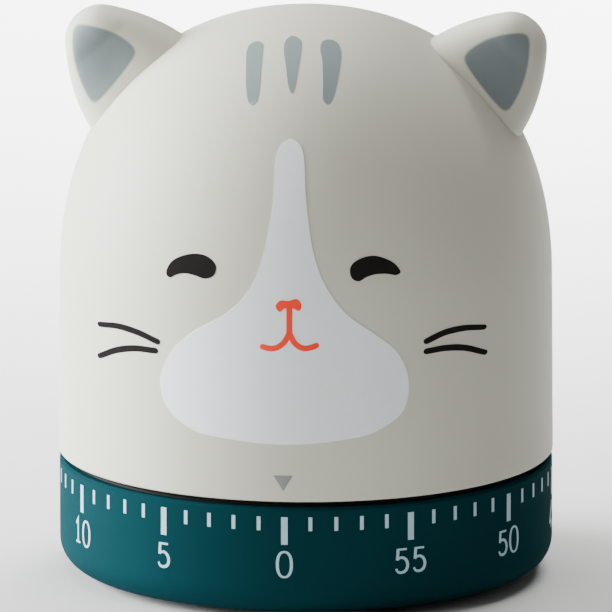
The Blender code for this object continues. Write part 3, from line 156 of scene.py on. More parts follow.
class Finish:
    """A material on the Principled shader, with patterns in the piece's own millimetres."""

    def __init__(self, name, colour, roughness, metallic=0.0, **settings):
        self.material = bpy.data.materials.new(name)
        self.material.use_nodes = True
        self.material.diffuse_color = (*colour, 1.0)
        self.tree = self.material.node_tree
        self.shader = self.tree.nodes["Principled BSDF"]
        self.set("Base Color", (*colour, 1.0))
        self.set("Roughness", roughness)
        self.set("Metallic", metallic)
        for socket, value in settings.items():
            self.set(socket.replace("_", " "), value)

    def set(self, socket, value):
        """Gives one of the shader's sockets a number, a colour or a link."""
        target = self.shader.inputs[socket]
        if isinstance(value, Value):
            self.tree.links.new(value.socket, target)
        else:
            target.default_value = value

    def node(self, kind, settings=None, values=None, output=0):
        """Adds a node, with its settings first and then its sockets' values or links."""
        made = self.tree.nodes.new(kind)
        for key, value in (settings or {}).items():
            setattr(made, key, value)
        for key, value in (values or {}).items():
            if isinstance(value, Value):
                self.tree.links.new(value.socket, made.inputs[key])
            else:
                made.inputs[key].default_value = value
        return Value(self, made.outputs[output])

    def place(self):
        """The point on the piece, in millimetres."""
        point = self.node("ShaderNodeTexCoord", output="Object")
        return self.node("ShaderNodeVectorMath", {"operation": "SCALE"}, {0: point, "Scale": 1 / MM})

    def axes(self):
        split = self.node("ShaderNodeSeparateXYZ", values={0: self.place()})
        return [Value(self, output) for output in split.socket.node.outputs]

    def noise(self, scale, detail=2.0, stretch=None, roughness=0.5):
        """Noise from 0 to 1, with about scale cells to a millimetre."""
        point = self.place()
        if stretch:
            point = self.node("ShaderNodeMapping", values={"Vector": point, "Scale": stretch})
        values = {"Vector": point, "Scale": scale, "Detail": detail, "Roughness": roughness}
        return self.node("ShaderNodeTexNoise", values=values, output=0)

    def mix(self, amount, first, second):
        """A colour between two, at 0 the first."""
        values = {0: amount, 6: first, 7: second}
        return self.node("ShaderNodeMix", {"data_type": "RGBA"}, values, output=2)

    def step(self, value, low, high):
        """0 below low, 1 above high and smooth between."""
        settings = {"interpolation_type": "SMOOTHSTEP"}
        return self.node("ShaderNodeMapRange", settings, {0: value, 1: low, 2: high, 3: 0.0, 4: 1.0})

    def relief(self, height, depth):
        """Bump of that depth in millimetres from a height that goes from 0 to 1."""
        values = {"Height": height, "Strength": 1.0, "Distance": depth * MM}
        self.set("Normal", self.node("ShaderNodeBump", values=values))


def shade(colour, factor):
    return tuple(min(1.0, part * factor) for part in colour[:3]) + (1.0,)


SHELL_GREY = (0.600, 0.590, 0.500)


def soft_touch(name):
    """Warm light grey lacquer: nearly matt, a very fine orange peel and the faintest cloudiness."""
    made = Finish(name, SHELL_GREY, 0.60, Specular_IOR_Level=0.25)
    cloud = made.noise(0.05, 3.0)
    made.set("Base Color", made.mix(cloud, shade(SHELL_GREY, 0.975), shade(SHELL_GREY, 1.02)))
    made.set("Roughness", made.noise(0.6, 2.0) * 0.10 + 0.50)
    made.relief(made.noise(3.2, 2.0), 0.006)
    return made


head_low, head_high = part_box("head_shell")
HEAD_WALL = 2.2 * MM
RIM_FLARE = 0.15 * MM  # how far the rim stands out from the upright wall
WALL_RADIUS = head_high.x - RIM_FLARE
DOME_START = 23.9 * MM
DOME_SHOULDER = 18.2 * MM
DOME_CROWN = 23.1 * MM
RIM_ROUND = 0.35 * MM
FINE_ROUND = 192


def dome_line(outset=0.0, steps=64):
    """The head's outline from its crown down to the start of its straight wall."""
    start = Vector((WALL_RADIUS, head_low.z + DOME_START))
    crown = Vector((0.0, head_high.z))
    upright = start + Vector((0.0, DOME_SHOULDER))
    level = crown + Vector((DOME_CROWN, 0.0))
    points = []
    for i in range(steps + 1):
        t = 1 - i / steps
        point = (
            (1 - t) ** 3 * start + 3 * t * (1 - t) ** 2 * upright + 3 * t**2 * (1 - t) * level + t**3 * crown
        )
        slope = (
            3 * (1 - t) ** 2 * (upright - start) + 6 * t * (1 - t) * (level - upright)
            + 3 * t**2 * (crown - level)
        )
        normal = Vector((slope.y, -slope.x)).normalized()
        points.append((point.x + outset * normal.x, point.y + outset * normal.y))
    points[0] = (0.0, head_high.z + outset)
    return points


def arc(centre, radius, start, end, steps):
    return [
        (
            centre[0] + radius * math.cos(start + (end - start) * i / steps),
            centre[1] + radius * math.sin(start + (end - start) * i / steps),
        )
        for i in range(steps + 1)
    ]


def keep(mesh, name, finish, smooth_angle=math.radians(35)):
    """A finished mesh as an object at the origin."""
    made = bpy.data.objects.new(name, mesh)
    bpy.context.scene.collection.objects.link(made)
    mesh.materials.clear()
    mesh.materials.append(finish.material)
    if smooth_angle:
        mesh.shade_smooth()
        mesh.set_sharp_from_angle(angle=smooth_angle)
    return made


def lathe(profile, sides, centre=(0.0, 0.0), closed=False):
    """A turned mesh.  The profile runs down its outer side; points on the axis become poles."""
    work = bmesh.new()
    rings = []
    for radius, height in profile:
        if radius < 1e-7:
            rings.append([work.verts.new((centre[0], centre[1], height))])
            continue
        rings.append([
            work.verts.new((
                centre[0] + radius * math.cos(math.tau * i / sides),
                centre[1] + radius * math.sin(math.tau * i / sides),
                height,
            ))
            for i in range(sides)
        ])
    pairs = list(zip(rings, rings[1:]))
    if closed:
        pairs.append((rings[-1], rings[0]))
    for upper, lower in pairs:
        for i in range(sides):
            j = (i + 1) % sides
            corners = [upper[i % len(upper)], lower[i % len(lower)]]
            corners += [lower[j % len(lower)], upper[j % len(upper)]]
            work.faces.new([c for k, c in enumerate(corners) if c not in corners[:k]])
    mesh = bpy.data.meshes.new("turned")
    work.to_mesh(mesh)
    work.free()
    return mesh


def joined(*meshes):
    """Several meshes that don't touch, in one."""
    work = bmesh.new()
    for mesh in meshes:
        work.from_mesh(mesh)
    mesh = bpy.data.meshes.new("joined")
    work.to_mesh(mesh)
    work.free()
    return mesh


def carve(mesh, *steps):
    """The mesh after Boolean steps, each an operation and the mesh that it works with."""
    target = bpy.data.objects.new("carve_target", mesh)
    bpy.context.scene.collection.objects.link(target)
    helpers = []
    for operation, other in steps:
        helper = bpy.data.objects.new("carve_tool", other)
        bpy.context.scene.collection.objects.link(helper)
        helpers.append(helper)
        modifier = target.modifiers.new("carve", "BOOLEAN")
        modifier.operation = operation
        modifier.object = helper
    bpy.context.view_layer.update()
    result = bpy.data.meshes.new_from_object(target.evaluated_get(bpy.context.evaluated_depsgraph_get()))
    for thing in helpers + [target]:
        bpy.data.objects.remove(thing)
    return result


def rod(radius, bottom, top, centre=(0.0, 0.0), sides=32):
    return lathe([(0.0, top), (radius, top), (radius, bottom), (0.0, bottom)], sides, centre)


def centre_of(node):
    low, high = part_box(node)
    return ((low.x + high.x) / 2, (low.y + high.y) / 2)


DOME = [(z, r) for r, z in reversed(dome_line(0.0, 400))]


def dome_radius(height, outset=0.0):
    """The head's outer radius at a height."""
    if height <= DOME[0][0]:
        fall = (DOME[0][0] - height) / DOME_START
        return WALL_RADIUS + fall * (head_high.x - WALL_RADIUS) + outset
    i = min(bisect.bisect_left(DOME, (height, 0.0)), len(DOME) - 1)
    (z0, r0), (z1, r1) = DOME[i - 1], DOME[i]
    return r0 + (r1 - r0) * (height - z0) / (z1 - z0)


def dome_height(reach):
    """The head's outer height at a distance from its axis."""
    for (z0, r0), (z1, r1) in zip(DOME, DOME[1:]):
        if r1 <= reach <= r0:
            return z0 + (z1 - z0) * (r0 - reach) / (r0 - r1)
    return DOME[0][0]


BOSS_RADIUS = 3.2 * MM
BOSS_BORE = 1.25 * MM
BORE_END = 0.3 * MM  # how far a bore goes past the end of its screw
HUB_COLLAR = 3.2 * MM  # the hub plate's collar above its disc, which the bosses rest on
boss_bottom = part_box("hub_plate")[1].z - HUB_COLLAR
bosses = []
taps = []
for screw in ("hub_screw_1", "hub_screw_2", "hub_screw_3"):
    spot = centre_of(screw)
    boss_top = dome_height(math.hypot(*spot) + BOSS_RADIUS) - HEAD_WALL / 2
    bosses.append(rod(BOSS_RADIUS, boss_bottom, boss_top, spot))
    taps.append(rod(BOSS_BORE, boss_bottom - 1 * MM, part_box(screw)[1].z + BORE_END, spot))
rim_corner = (head_high.x - RIM_ROUND, head_low.z + RIM_ROUND)
outside = dome_line() + arc(rim_corner, RIM_ROUND, 0.0, -math.pi / 2, 5)
inside = dome_line(-HEAD_WALL, 24) + [(WALL_RADIUS - HEAD_WALL, head_low.z)]
shell = lathe(outside + inside[::-1], FINE_ROUND)
shell = carve(shell, ("UNION", joined(*bosses)), ("DIFFERENCE", joined(*taps)))
head = keep(shell, "cat_head", soft_touch("soft_touch_grey"))
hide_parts("head_shell")
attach(head, "head")


# ----------------------------------------
# Print on the head: muzzle with blaze, eyes, whiskers, nose, mouth, forehead stripes and pointer.  Each is
# pad-printed in ink, so here it is a thin film that stands above the lacquer and reaches a little below it.

FACE_FILM = 0.04  # how far a print stands above the lacquer; without MM, sizes are in millimetres
WHITE_FILM = 0.10
NOSE_FILM = 0.14  # over the white
FILM_SINK = 0.1


def smooth_loop(points, closed=True, step=0.3):
    """A smooth curve through a few points, in steps of about that many millimetres."""
    count = len(points)
    line = []
    for i in range(count if closed else count - 1):
        if closed:
            p0, p1, p2, p3 = (Vector(points[(i + k) % count]) for k in (-1, 0, 1, 2))
        else:
            p0, p1, p2, p3 = (Vector(points[min(max(i + k, 0), count - 1)]) for k in (-1, 0, 1, 2))
        parts = max(1, round((p2 - p1).length / step))
        d01, d12, d23 = (max((b - a).length, 1e-6) ** 0.5 for a, b in ((p0, p1), (p1, p2), (p2, p3)))
        m1 = m2 = p2 - p1
        if (p1 - p0).length > 1e-6:
            m1 = ((p1 - p0) / d01 - (p2 - p0) / (d01 + d12) + (p2 - p1) / d12) * d12
        if (p3 - p2).length > 1e-6:
            m2 = ((p2 - p1) / d12 - (p3 - p1) / (d12 + d23) + (p3 - p2) / d23) * d12
        for k in range(parts):
            t = k / parts
            line.append(
                (2 * t**3 - 3 * t**2 + 1) * p1 + (t**3 - 2 * t**2 + t) * m1
                + (3 * t**2 - 2 * t**3) * p2 + (t**3 - t**2) * m2
            )
    if not closed:
        line.append(Vector(points[-1]))
    return line


def stroke(points, widths, smooth=True, round_ends=True):
    """The outline of a line drawn with a changing width."""
    line = smooth_loop(points, closed=False) if smooth else [Vector(point) for point in points]
    reach = [0.0]
    for one, two in zip(line, line[1:]):
        reach.append(reach[-1] + (two - one).length)
    left, right = [], []
    for i, point in enumerate(line):
        share = reach[i] / reach[-1] * (len(widths) - 1)
        k = min(int(share), len(widths) - 2)
        half = (widths[k] + (widths[k + 1] - widths[k]) * (share - k)) / 2
        before = (point - line[i - 1]).normalized() if i else None
        after = (line[i + 1] - point).normalized() if i + 1 < len(line) else None
        along = ((before or after) + (after or before)).normalized()
        across = Vector((-along.y, along.x))
        if before and after:
            half /= max(0.4, across.dot(Vector((-before.y, before.x))))
        left.append(point + half * across)
        right.append(point - half * across)
    ends = [[], []]
    if round_ends:
        for side, (middle, edge) in enumerate(((line[-1], left[-1]), (line[0], right[0]))):
            spoke = edge - middle
            for k in range(1, 6):
                turn = -math.pi * k / 6
                ends[side].append(middle + Vector((
                    spoke.x * math.cos(turn) - spoke.y * math.sin(turn),
                    spoke.x * math.sin(turn) + spoke.y * math.cos(turn),
                )))
    return left + ends[0] + right[::-1] + ends[1]


def within(point, loop):
    """Whether the point is inside the loop."""
    inside_loop = False
    for one, two in zip(loop, loop[1:] + loop[:1]):
        if (one[1] > point[1]) != (two[1] > point[1]):
            if point[0] < one[0] + (point[1] - one[1]) / (two[1] - one[1]) * (two[0] - one[0]):
                inside_loop = not inside_loop
    return inside_loop


def film(loops, place, proud, holes=(), grid=1.2):
    """A closed thin sheet, in millimetres, on the curved face that place(u, v, outset) gives points of."""
    points, edges = [], []
    for loop in list(loops) + list(holes):
        first = len(points)
        points += [Vector(point) for point in loop]
        edges += [(first + i, first + (i + 1) % len(loop)) for i in range(len(loop))]
    low = (min(p.x for p in points), min(p.y for p in points))
    high = (max(p.x for p in points), max(p.y for p in points))
    rim_count = len(points)
    rows = int((high[1] - low[1]) / grid)
    columns = int((high[0] - low[0]) / grid)
    for j in range(1, rows + 1):
        for i in range(1, columns + 1):
            spot = Vector((low[0] + i * grid, low[1] + (j - 0.5 * (i % 2)) * grid))
            if any(within(spot, loop) for loop in loops):
                if min((spot - other).length_squared for other in points[:rim_count]) > (0.35 * grid) ** 2:
                    points.append(spot)
    flat, _, faces, _, _, _ = delaunay_2d_cdt(points, edges, [], 0, 1e-5)
    kept = []
    for face in faces:
        middle = sum((flat[i] for i in face), Vector((0.0, 0.0))) / len(face)
        if any(within(middle, loop) for loop in loops) and not any(within(middle, hole) for hole in holes):
            kept.append(list(face))
    used = sorted({i for face in kept for i in face})
    work = bmesh.new()
    top = {i: work.verts.new(place(flat[i].x, flat[i].y, proud)) for i in used}
    under = {i: work.verts.new(place(flat[i].x, flat[i].y, -FILM_SINK)) for i in used}
    sides = {}
    for face in kept:
        work.faces.new([top[i] for i in face])
        work.faces.new([under[i] for i in reversed(face)])
        for one, two in zip(face, face[1:] + face[:1]):
            sides[one, two] = True
    for one, two in sides:
        if (two, one) not in sides:
            work.faces.new([top[two], top[one], under[one], under[two]])
    bmesh.ops.recalc_face_normals(work, faces=work.faces)
    mesh = bpy.data.meshes.new("film")
    work.to_mesh(mesh)
    work.free()
    return mesh


def on_front(x, z, outset):
    """A point of the head's front above (x, z) as it is seen level from the front."""
    radius = dome_radius(z * MM) + outset * MM
    return (x * MM, -math.sqrt(max(radius**2 - (x * MM) ** 2, 0.0)), z * MM)


def on_top(x, y, outset):
    """A point of the head's top below (x, y) as it is seen from above."""
    reach = math.hypot(x, y)
    return (x * MM, y * MM, dome_height(reach * MM) + outset * MM)


def printed(name, meshes, finish, body="head"):
    made = keep(joined(*meshes), name, finish, math.radians(50))
    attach(made, body)


def ink(name, colour, roughness, fleck=0.03, gloss=0.05):
    """Pad-printing ink: even and matt, with the fine grain of a screen."""
    made = Finish(name, colour, roughness, Specular_IOR_Level=gloss)
    made.set("Base Color", made.mix(made.noise(0.7, 3.0), shade(colour, 1 - fleck), shade(colour, 1 + fleck)))
    made.set("Roughness", made.noise(1.4, 2.0) * 0.12 + (roughness - 0.06))
    made.relief(made.noise(5.0, 2.0), 0.004)
    return made


MUZZLE = [
    (0.30, 63.45), (1.55, 62.75), (2.10, 61.2), (2.55, 56.6), (3.74, 49.5), (5.26, 45.4), (8.03, 41.5),
    (12.2, 38.2), (14.5, 36.0), (15.8, 33.0), (15.95, 30.4), (15.2, 27.9), (11.7, 25.5), (7.3, 24.6),
    (0.0, 24.05), (-7.4, 24.5), (-12.0, 25.2), (-15.6, 27.6), (-16.7, 30.4), (-16.6, 32.2), (-15.05, 35.6),
    (-12.3, 38.3), (-7.15, 41.7), (-4.2, 45.3), (-2.72, 49.4), (-1.6, 56.5), (-1.5, 61.2), (-0.95, 62.75),
]
muzzle_ink = ink("muzzle_white", (0.86, 0.90, 0.93), 0.60)
printed("muzzle_print", [film([smooth_loop(MUZZLE)], on_front, WHITE_FILM)], muzzle_ink)

LEFT_EYE = [
    (-15.8, 45.4), (-15.9, 46.0), (-15.0, 47.5), (-12.1, 48.7), (-10.1, 48.4), (-9.1, 47.3), (-9.45, 46.1),
    (-10.6, 45.6), (-12.05, 45.9), (-13.5, 46.0), (-14.7, 45.6), (-15.3, 45.2),
]
RIGHT_EYE = [
    (8.46, 47.2), (8.76, 46.1), (9.6, 45.7), (10.6, 46.2), (11.7, 46.5), (13.2, 46.45), (14.4, 46.2),
    (14.9, 46.5), (14.7, 47.0), (13.9, 47.9), (11.55, 48.9), (9.7, 48.6), (8.7, 47.9),
]
WHISKERS = [
    [(-25.4, 36.95), (-22.6, 37.4), (-19.8, 37.15), (-17.1, 36.4)],
    [(-25.4, 32.7), (-22.9, 34.15), (-20.3, 34.95), (-17.4, 35.15)],
    [(25.2, 37.6), (22.9, 38.0), (20.5, 37.85), (18.2, 37.0)],
    [(25.3, 34.2), (22.9, 35.35), (20.6, 35.75), (18.2, 35.65)],
]
WHISKER_WIDTHS = (0.68, 0.84, 0.78)  # outer end, middle, inner end
dark_ink = ink("face_black", (0.0155, 0.0145, 0.0140), 0.62, 0.15, 0.0)
dark_films = [film([smooth_loop(eye)], on_front, FACE_FILM) for eye in (LEFT_EYE, RIGHT_EYE)]
dark_films += [film([stroke(line, WHISKER_WIDTHS)], on_front, FACE_FILM) for line in WHISKERS]
printed("eyes_and_whiskers", dark_films, dark_ink)

NOSE = [
    (-1.17, 42.5), (-0.59, 43.3), (0.55, 43.3), (1.68, 43.55), (2.27, 42.7), (1.94, 41.95), (1.31, 42.25),
    (0.66, 42.35), (0.0, 42.25), (-0.58, 41.8),
]
NOSE_STEM = [(0.66, 42.4), (0.66, 39.0)]
MOUTH_LEFT = [(0.66, 39.0), (-0.07, 37.7), (-1.08, 37.0), (-1.97, 36.9), (-2.86, 37.1)]
MOUTH_RIGHT = [(0.66, 39.0), (1.44, 37.6), (2.45, 37.0), (3.33, 37.05), (4.20, 37.35)]
STEM_WIDTHS = (0.8, 0.8)
MOUTH_WIDTHS = (0.78, 0.75)
orange_ink = ink("nose_orange", (0.95, 0.060, 0.030), 0.60)
nose_loops = [smooth_loop(NOSE), stroke(NOSE_STEM, STEM_WIDTHS)]
nose_loops += [stroke(line, MOUTH_WIDTHS) for line in (MOUTH_LEFT, MOUTH_RIGHT)]
printed("nose_and_mouth", [film(nose_loops, on_front, NOSE_FILM)], orange_ink)

STRIPES = [
    [
        (-5.5, -11.05), (-4.7, -11.8), (-4.5, -13.6), (-4.4, -17.2), (-4.35, -20.6), (-4.6, -21.7),
        (-5.1, -22.0), (-5.65, -21.5), (-6.1, -19.9), (-6.5, -15.9), (-6.65, -13.1), (-6.35, -11.6),
    ],
    [
        (-0.9, -10.2), (0.2, -11.2), (0.55, -12.8), (0.55, -16.6), (0.3, -20.3), (0.05, -21.0),
        (-0.45, -20.3), (-1.2, -16.7), (-1.75, -13.4), (-1.65, -11.4),
    ],
    [
        (4.1, -10.6), (5.1, -11.2), (5.8, -13.3), (5.9, -15.45), (5.7, -19.3), (5.3, -21.2), (4.8, -21.8),
        (4.2, -21.5), (3.9, -19.0), (3.5, -15.55), (3.0, -12.9), (3.25, -11.2),
    ],
]
stripe_ink = ink("stripe_grey", (0.212, 0.255, 0.258), 0.60)
stripe_films = [film([smooth_loop(stripe)], on_top, FACE_FILM) for stripe in STRIPES]
printed("forehead_stripes", stripe_films, stripe_ink)

POINTER = [(-1.45, 19.9), (-0.15, 17.8), (1.14, 19.9)]
pointer_ink = ink("pointer_grey", (0.260, 0.262, 0.265), 0.60)
printed("pointer_print", [film([POINTER], on_front, FACE_FILM, grid=0.5)], pointer_ink)


# ----------------------------------------
# Ears: two fat wedges of the head's plastic, moulded apart and pressed into the dome by a peg.  The front of
# each is dished a little, and a soft grey patch is sprayed into the dish.

EAR_SEAT_LEAN = math.radians(46)
EAR_LEAN = math.radians(42)
EAR_REACH = 5.8  # this and the sizes below that have no MM are in millimetres
EAR_TIP_RADIUS = 4.7
EAR_FLANK_ANGLE = math.radians(38)  # half the angle between the flanks where the tip round ends
EAR_FLANK_CURVE = 0.029  # how fast the flanks turn in again towards the dome
EAR_TIP_DEPTH = 4.4
EAR_SEAT_DEPTH = 5.7
EAR_SINK = 4.0
EAR_SQUARENESS = 2.4
EAR_PEG_RADIUS = 2.5 * MM
EAR_PEG_LENGTH = 8.0 * MM
EAR_SEAT_GAP = 0.02 * MM
EAR_DISH = 0.16
EAR_DISH_START = 0.5  # the dish begins that far outside the patch
EAR_DISH_SLOPE = 2.2  # and is full that much further in
EAR_ROWS, EAR_TIP_ROWS, EAR_SIDES = 22, 16, 96
# The patch is what three round edges share, with blended corners: the centre and radius of each, as (|x|, z).
PATCH_EDGES = (((28.6, 63.3), 10.1), ((15.3, 71.7), 14.9), ((70.8, 103.2), 59.4))
PATCH_BLEND = 1.8
PATCH_SHIFT = 0.4  # both patches sit that far to the left of the ears' middles
PATCH_SOFTNESS = 0.20
PATCH_GREY = (0.185, 0.215, 0.222)


def softer_max(one, two, blend):
    h = max(0.0, min(1.0, 0.5 + 0.5 * (one - two) / blend))
    return two + (one - two) * h + blend * h * (1 - h)


def ear_patch(x, z):
    """How far (x, z) is outside the grey patch, about in millimetres."""
    across = abs(x + PATCH_SHIFT)
    near = [math.hypot(across - centre[0], z - centre[1]) - radius for centre, radius in PATCH_EDGES]
    return softer_max(softer_max(near[0], near[1], PATCH_BLEND), near[2], PATCH_BLEND)


def ear_section(below):
    """Half width and half depth of the ear that far back from the middle of its tip round."""
    deep = EAR_TIP_DEPTH + (EAR_SEAT_DEPTH - EAR_TIP_DEPTH) / EAR_REACH * below
    if below < 0.0:
        deep = EAR_TIP_DEPTH * math.sqrt(max(0.0, 1 - (below / EAR_TIP_RADIUS) ** 2))
    past = below + EAR_TIP_RADIUS * math.sin(EAR_FLANK_ANGLE)
    if past < 0.0:
        return math.sqrt(max(0.0, EAR_TIP_RADIUS**2 - below**2)), deep
    wide = EAR_TIP_RADIUS * math.cos(EAR_FLANK_ANGLE)
    return wide + math.tan(EAR_FLANK_ANGLE) * past - EAR_FLANK_CURVE * past**2, deep


def ear_mesh(side):
    """One ear with its peg, cut to the dome where the dome leans by the seat's angle."""
    line = dome_line(0.0, 60)
    for (seat_x, seat_z), (next_x, next_z) in zip(line, line[1:]):
        if math.atan2(seat_z - next_z, next_x - seat_x) >= EAR_SEAT_LEAN:
            break
    seat = Vector((side * seat_x, 0.0, seat_z))
    outward = Vector((side * math.sin(EAR_LEAN), 0.0, math.cos(EAR_LEAN)))
    across = Vector((outward.z, 0.0, -outward.x))
    belows = [EAR_REACH + EAR_SINK - (EAR_REACH + EAR_SINK) * i / EAR_ROWS for i in range(EAR_ROWS + 1)]
    belows += [-EAR_TIP_RADIUS * math.sin(math.pi / 2 * i / EAR_TIP_ROWS) for i in range(1, EAR_TIP_ROWS)]
    work = bmesh.new()
    rings = []
    for below in belows:
        half_width, half_depth = ear_section(below)
        ring = []
        for i in range(EAR_SIDES):
            x, y = math.cos(math.tau * i / EAR_SIDES), math.sin(math.tau * i / EAR_SIDES)
            wide = math.copysign(abs(x) ** (2 / EAR_SQUARENESS), x) * half_width
            deep = math.copysign(abs(y) ** (2 / EAR_SQUARENESS), y) * half_depth
            point = seat + ((EAR_REACH - below) * outward + wide * across) * MM
            point.y += deep * MM
            if y < 0:
                inside_patch = -ear_patch(point.x / MM, point.z / MM)
                dish = max(0.0, min(1.0, (inside_patch + EAR_DISH_START) / EAR_DISH_SLOPE))
                point.y += EAR_DISH * dish * dish * (3 - 2 * dish) * MM
            ring.append(work.verts.new(point))
        rings.append(ring)
    tip = work.verts.new(seat + (EAR_REACH + EAR_TIP_RADIUS) * MM * outward)
    for one, two in zip(rings, rings[1:]):
        for i in range(EAR_SIDES):
            j = (i + 1) % EAR_SIDES
            work.faces.new((one[i], one[j], two[j], two[i]))
    for i in range(EAR_SIDES):
        work.faces.new((rings[-1][i], rings[-1][(i + 1) % EAR_SIDES], tip))
    work.faces.new(rings[0][::-1])
    mesh = bpy.data.meshes.new("ear")
    work.to_mesh(mesh)
    work.free()
    bed = lathe(dome_line(EAR_SEAT_GAP) + [(0.0, head_low.z)], FINE_ROUND)
    peg = rod(EAR_PEG_RADIUS, -EAR_PEG_LENGTH / 2, EAR_PEG_LENGTH / 2, sides=48)
    peg.transform(Matrix.Translation(seat) @ Matrix.Rotation(side * EAR_LEAN, 4, "Y"))
    return carve(mesh, ("DIFFERENCE", bed), ("UNION", peg))


def ear_finish(name):
    """The head's lacquer with the grey patch sprayed on the front."""
    made = soft_touch(name)
    x, y, z = made.axes()
    near = []
    for centre, radius in PATCH_EDGES:
        across, up = (x + PATCH_SHIFT).size() - centre[0], z - centre[1]
        near.append((across * across + up * up).maths("SQRT") - radius)
    first = near[0].maths("SMOOTH_MAX", near[1], PATCH_BLEND)
    both = first.maths("SMOOTH_MAX", near[2], PATCH_BLEND)
    front = made.step(y * -1.0, 0.3, 1.2)
    patch = made.step(both * -1.0, -PATCH_SOFTNESS, PATCH_SOFTNESS) * front
    grain = made.mix(made.noise(1.1, 3.0), shade(PATCH_GREY, 0.95), shade(PATCH_GREY, 1.05))
    lacquer = made.mix(made.noise(0.05, 3.0), shade(SHELL_GREY, 0.975), shade(SHELL_GREY, 1.02))
    made.set("Base Color", made.mix(patch, lacquer, grain))
    return made


ear_grey = ear_finish("ear_grey")
for ear, side in (("left_ear", -1), ("right_ear", 1)):
    made = keep(ear_mesh(side), f"{ear}_fine", ear_grey)
    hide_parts(ear)
    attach(made, "head")


# ----------------------------------------
# Base cup: dark teal ABS with a fine satin texture, one moulding with its screw bosses, bell post, sound
# slots and foot recesses.  Its lip is chamfered, and steps down inside to take the glide ring.

TEAL = (0.0030, 0.033, 0.041)
CUP_WALL = 2.0 * MM
CUP_FLOOR = 2.0 * MM
CUP_FILLET = 3.85 * MM
LIP_CHAMFER = 0.35 * MM
RABBET_WIDTH = 0.9 * MM
RABBET_DEPTH = 1.6 * MM
BELL_POST_RADIUS = 3.2 * MM
BELL_POST_RISE = 1.4 * MM
BELL_BORE_RADIUS = 1.0 * MM
BELL_BORE_TOP = 12.5 * MM
SCREW_BOSS_RADIUS = 2.4 * MM
SCREW_BOSS_GAP = 0.3 * MM  # below the lower plate
SCREW_BORE_RADIUS = 1.3 * MM
SCREW_BORE_TOP = 13 * MM
SCREW_HEAD_ROOM = 2.5 * MM  # radius and height of the recess for a screw's head
FOOT_ROOM = 0.15 * MM
FOOT_RECESS_TOP = 2.0 * MM
SOUND_SLOTS = 12
SOUND_SLOT_RING = 11.5 * MM
SOUND_SLOT_LENGTH = 7.0 * MM
SOUND_SLOT_WIDTH = 1.6 * MM
SOUND_SLOT_TOP = 3.5 * MM


def round_bar(length, width, bottom, top, centre, turn):
    """An upright prism with round ends, for a slot."""
    half = length / 2 - width / 2
    outline = []
    for k in range(17):
        angle = -math.pi / 2 + math.pi * k / 16
        outline.append((half + width / 2 * math.cos(angle), width / 2 * math.sin(angle)))
    outline += [(-x, -y) for x, y in outline]
    work = bmesh.new()
    rings = []
    for height in (bottom, top):
        rings.append([
            work.verts.new((
                centre[0] + x * math.cos(turn) - y * math.sin(turn),
                centre[1] + x * math.sin(turn) + y * math.cos(turn),
                height,
            ))
            for x, y in outline
        ])
    for i in range(len(outline)):
        j = (i + 1) % len(outline)
        work.faces.new((rings[0][i], rings[0][j], rings[1][j], rings[1][i]))
    work.faces.new(rings[0][::-1])
    work.faces.new(rings[1])
    mesh = bpy.data.meshes.new("bar")
    work.to_mesh(mesh)
    work.free()
    return mesh


def teal_plastic(name):
    """Moulded texture: a fine even grain, slightly lighter where it has been rubbed."""
    made = Finish(name, TEAL, 0.80, Specular_IOR_Level=0.02)
    worn = made.noise(0.12, 4.0)
    made.set("Base Color", made.mix(worn, shade(TEAL, 0.93), shade(TEAL, 1.07)))
    made.set("Roughness", made.noise(0.8, 3.0) * 0.14 + 0.72)
    made.relief(made.noise(6.0, 2.0, roughness=0.6), 0.008)
    return made


cup_low, cup_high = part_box("base_cup")
CUP_RADIUS = cup_high.x
floor_top = cup_low.z + CUP_FLOOR
inner = CUP_RADIUS - CUP_WALL
inside_fillet = CUP_FILLET - CUP_WALL
cup_line = [(0.0, floor_top)]
cup_line += arc((inner - inside_fillet, floor_top + inside_fillet), inside_fillet, -math.pi / 2, 0.0, 8)
cup_line += [
    (inner, cup_high.z - RABBET_DEPTH), (inner + RABBET_WIDTH, cup_high.z - RABBET_DEPTH),
    (inner + RABBET_WIDTH, cup_high.z), (CUP_RADIUS - LIP_CHAMFER, cup_high.z),
    (CUP_RADIUS, cup_high.z - LIP_CHAMFER),
]
cup_line += arc((CUP_RADIUS - CUP_FILLET, cup_low.z + CUP_FILLET), CUP_FILLET, 0.0, -math.pi / 2, 14)
cup_line += [(0.0, cup_low.z)]
slab = cup_low.z + CUP_FLOOR / 2  # half-way up the floor, where the posts start
additions = [rod(BELL_POST_RADIUS, slab, floor_top + BELL_POST_RISE, sides=48)]
hollows = [rod(BELL_BORE_RADIUS, cup_low.z + CUP_FLOOR / 3, BELL_BORE_TOP)]
boss_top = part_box("lower_plate")[0].z - SCREW_BOSS_GAP
for i in range(1, 4):
    spot = centre_of(f"case_screw_{i}")
    low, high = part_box(f"rubber_foot_{i}")
    foot_radius = (high.x - low.x) / 2 + FOOT_ROOM
    additions.append(rod(SCREW_BOSS_RADIUS, slab, boss_top, spot, 48))
    hollows.append(rod(SCREW_BORE_RADIUS, 0.0, SCREW_BORE_TOP, spot))
    hollows.append(rod(SCREW_HEAD_ROOM, 0.0, SCREW_HEAD_ROOM, spot, 48))
    hollows.append(rod(foot_radius, 0.0, FOOT_RECESS_TOP, centre_of(f"rubber_foot_{i}"), 64))
for i in range(SOUND_SLOTS):
    angle = math.tau * (i + 0.5) / SOUND_SLOTS
    spot = (SOUND_SLOT_RING * math.cos(angle), SOUND_SLOT_RING * math.sin(angle))
    hollows.append(round_bar(SOUND_SLOT_LENGTH, SOUND_SLOT_WIDTH, 0.0, SOUND_SLOT_TOP, spot, angle))
cup = carve(lathe(cup_line, 256), ("UNION", joined(*additions)))
for hollow in hollows:
    cup = carve(cup, ("DIFFERENCE", hollow))
cup = keep(cup, "base_fine", teal_plastic("satin_teal"))
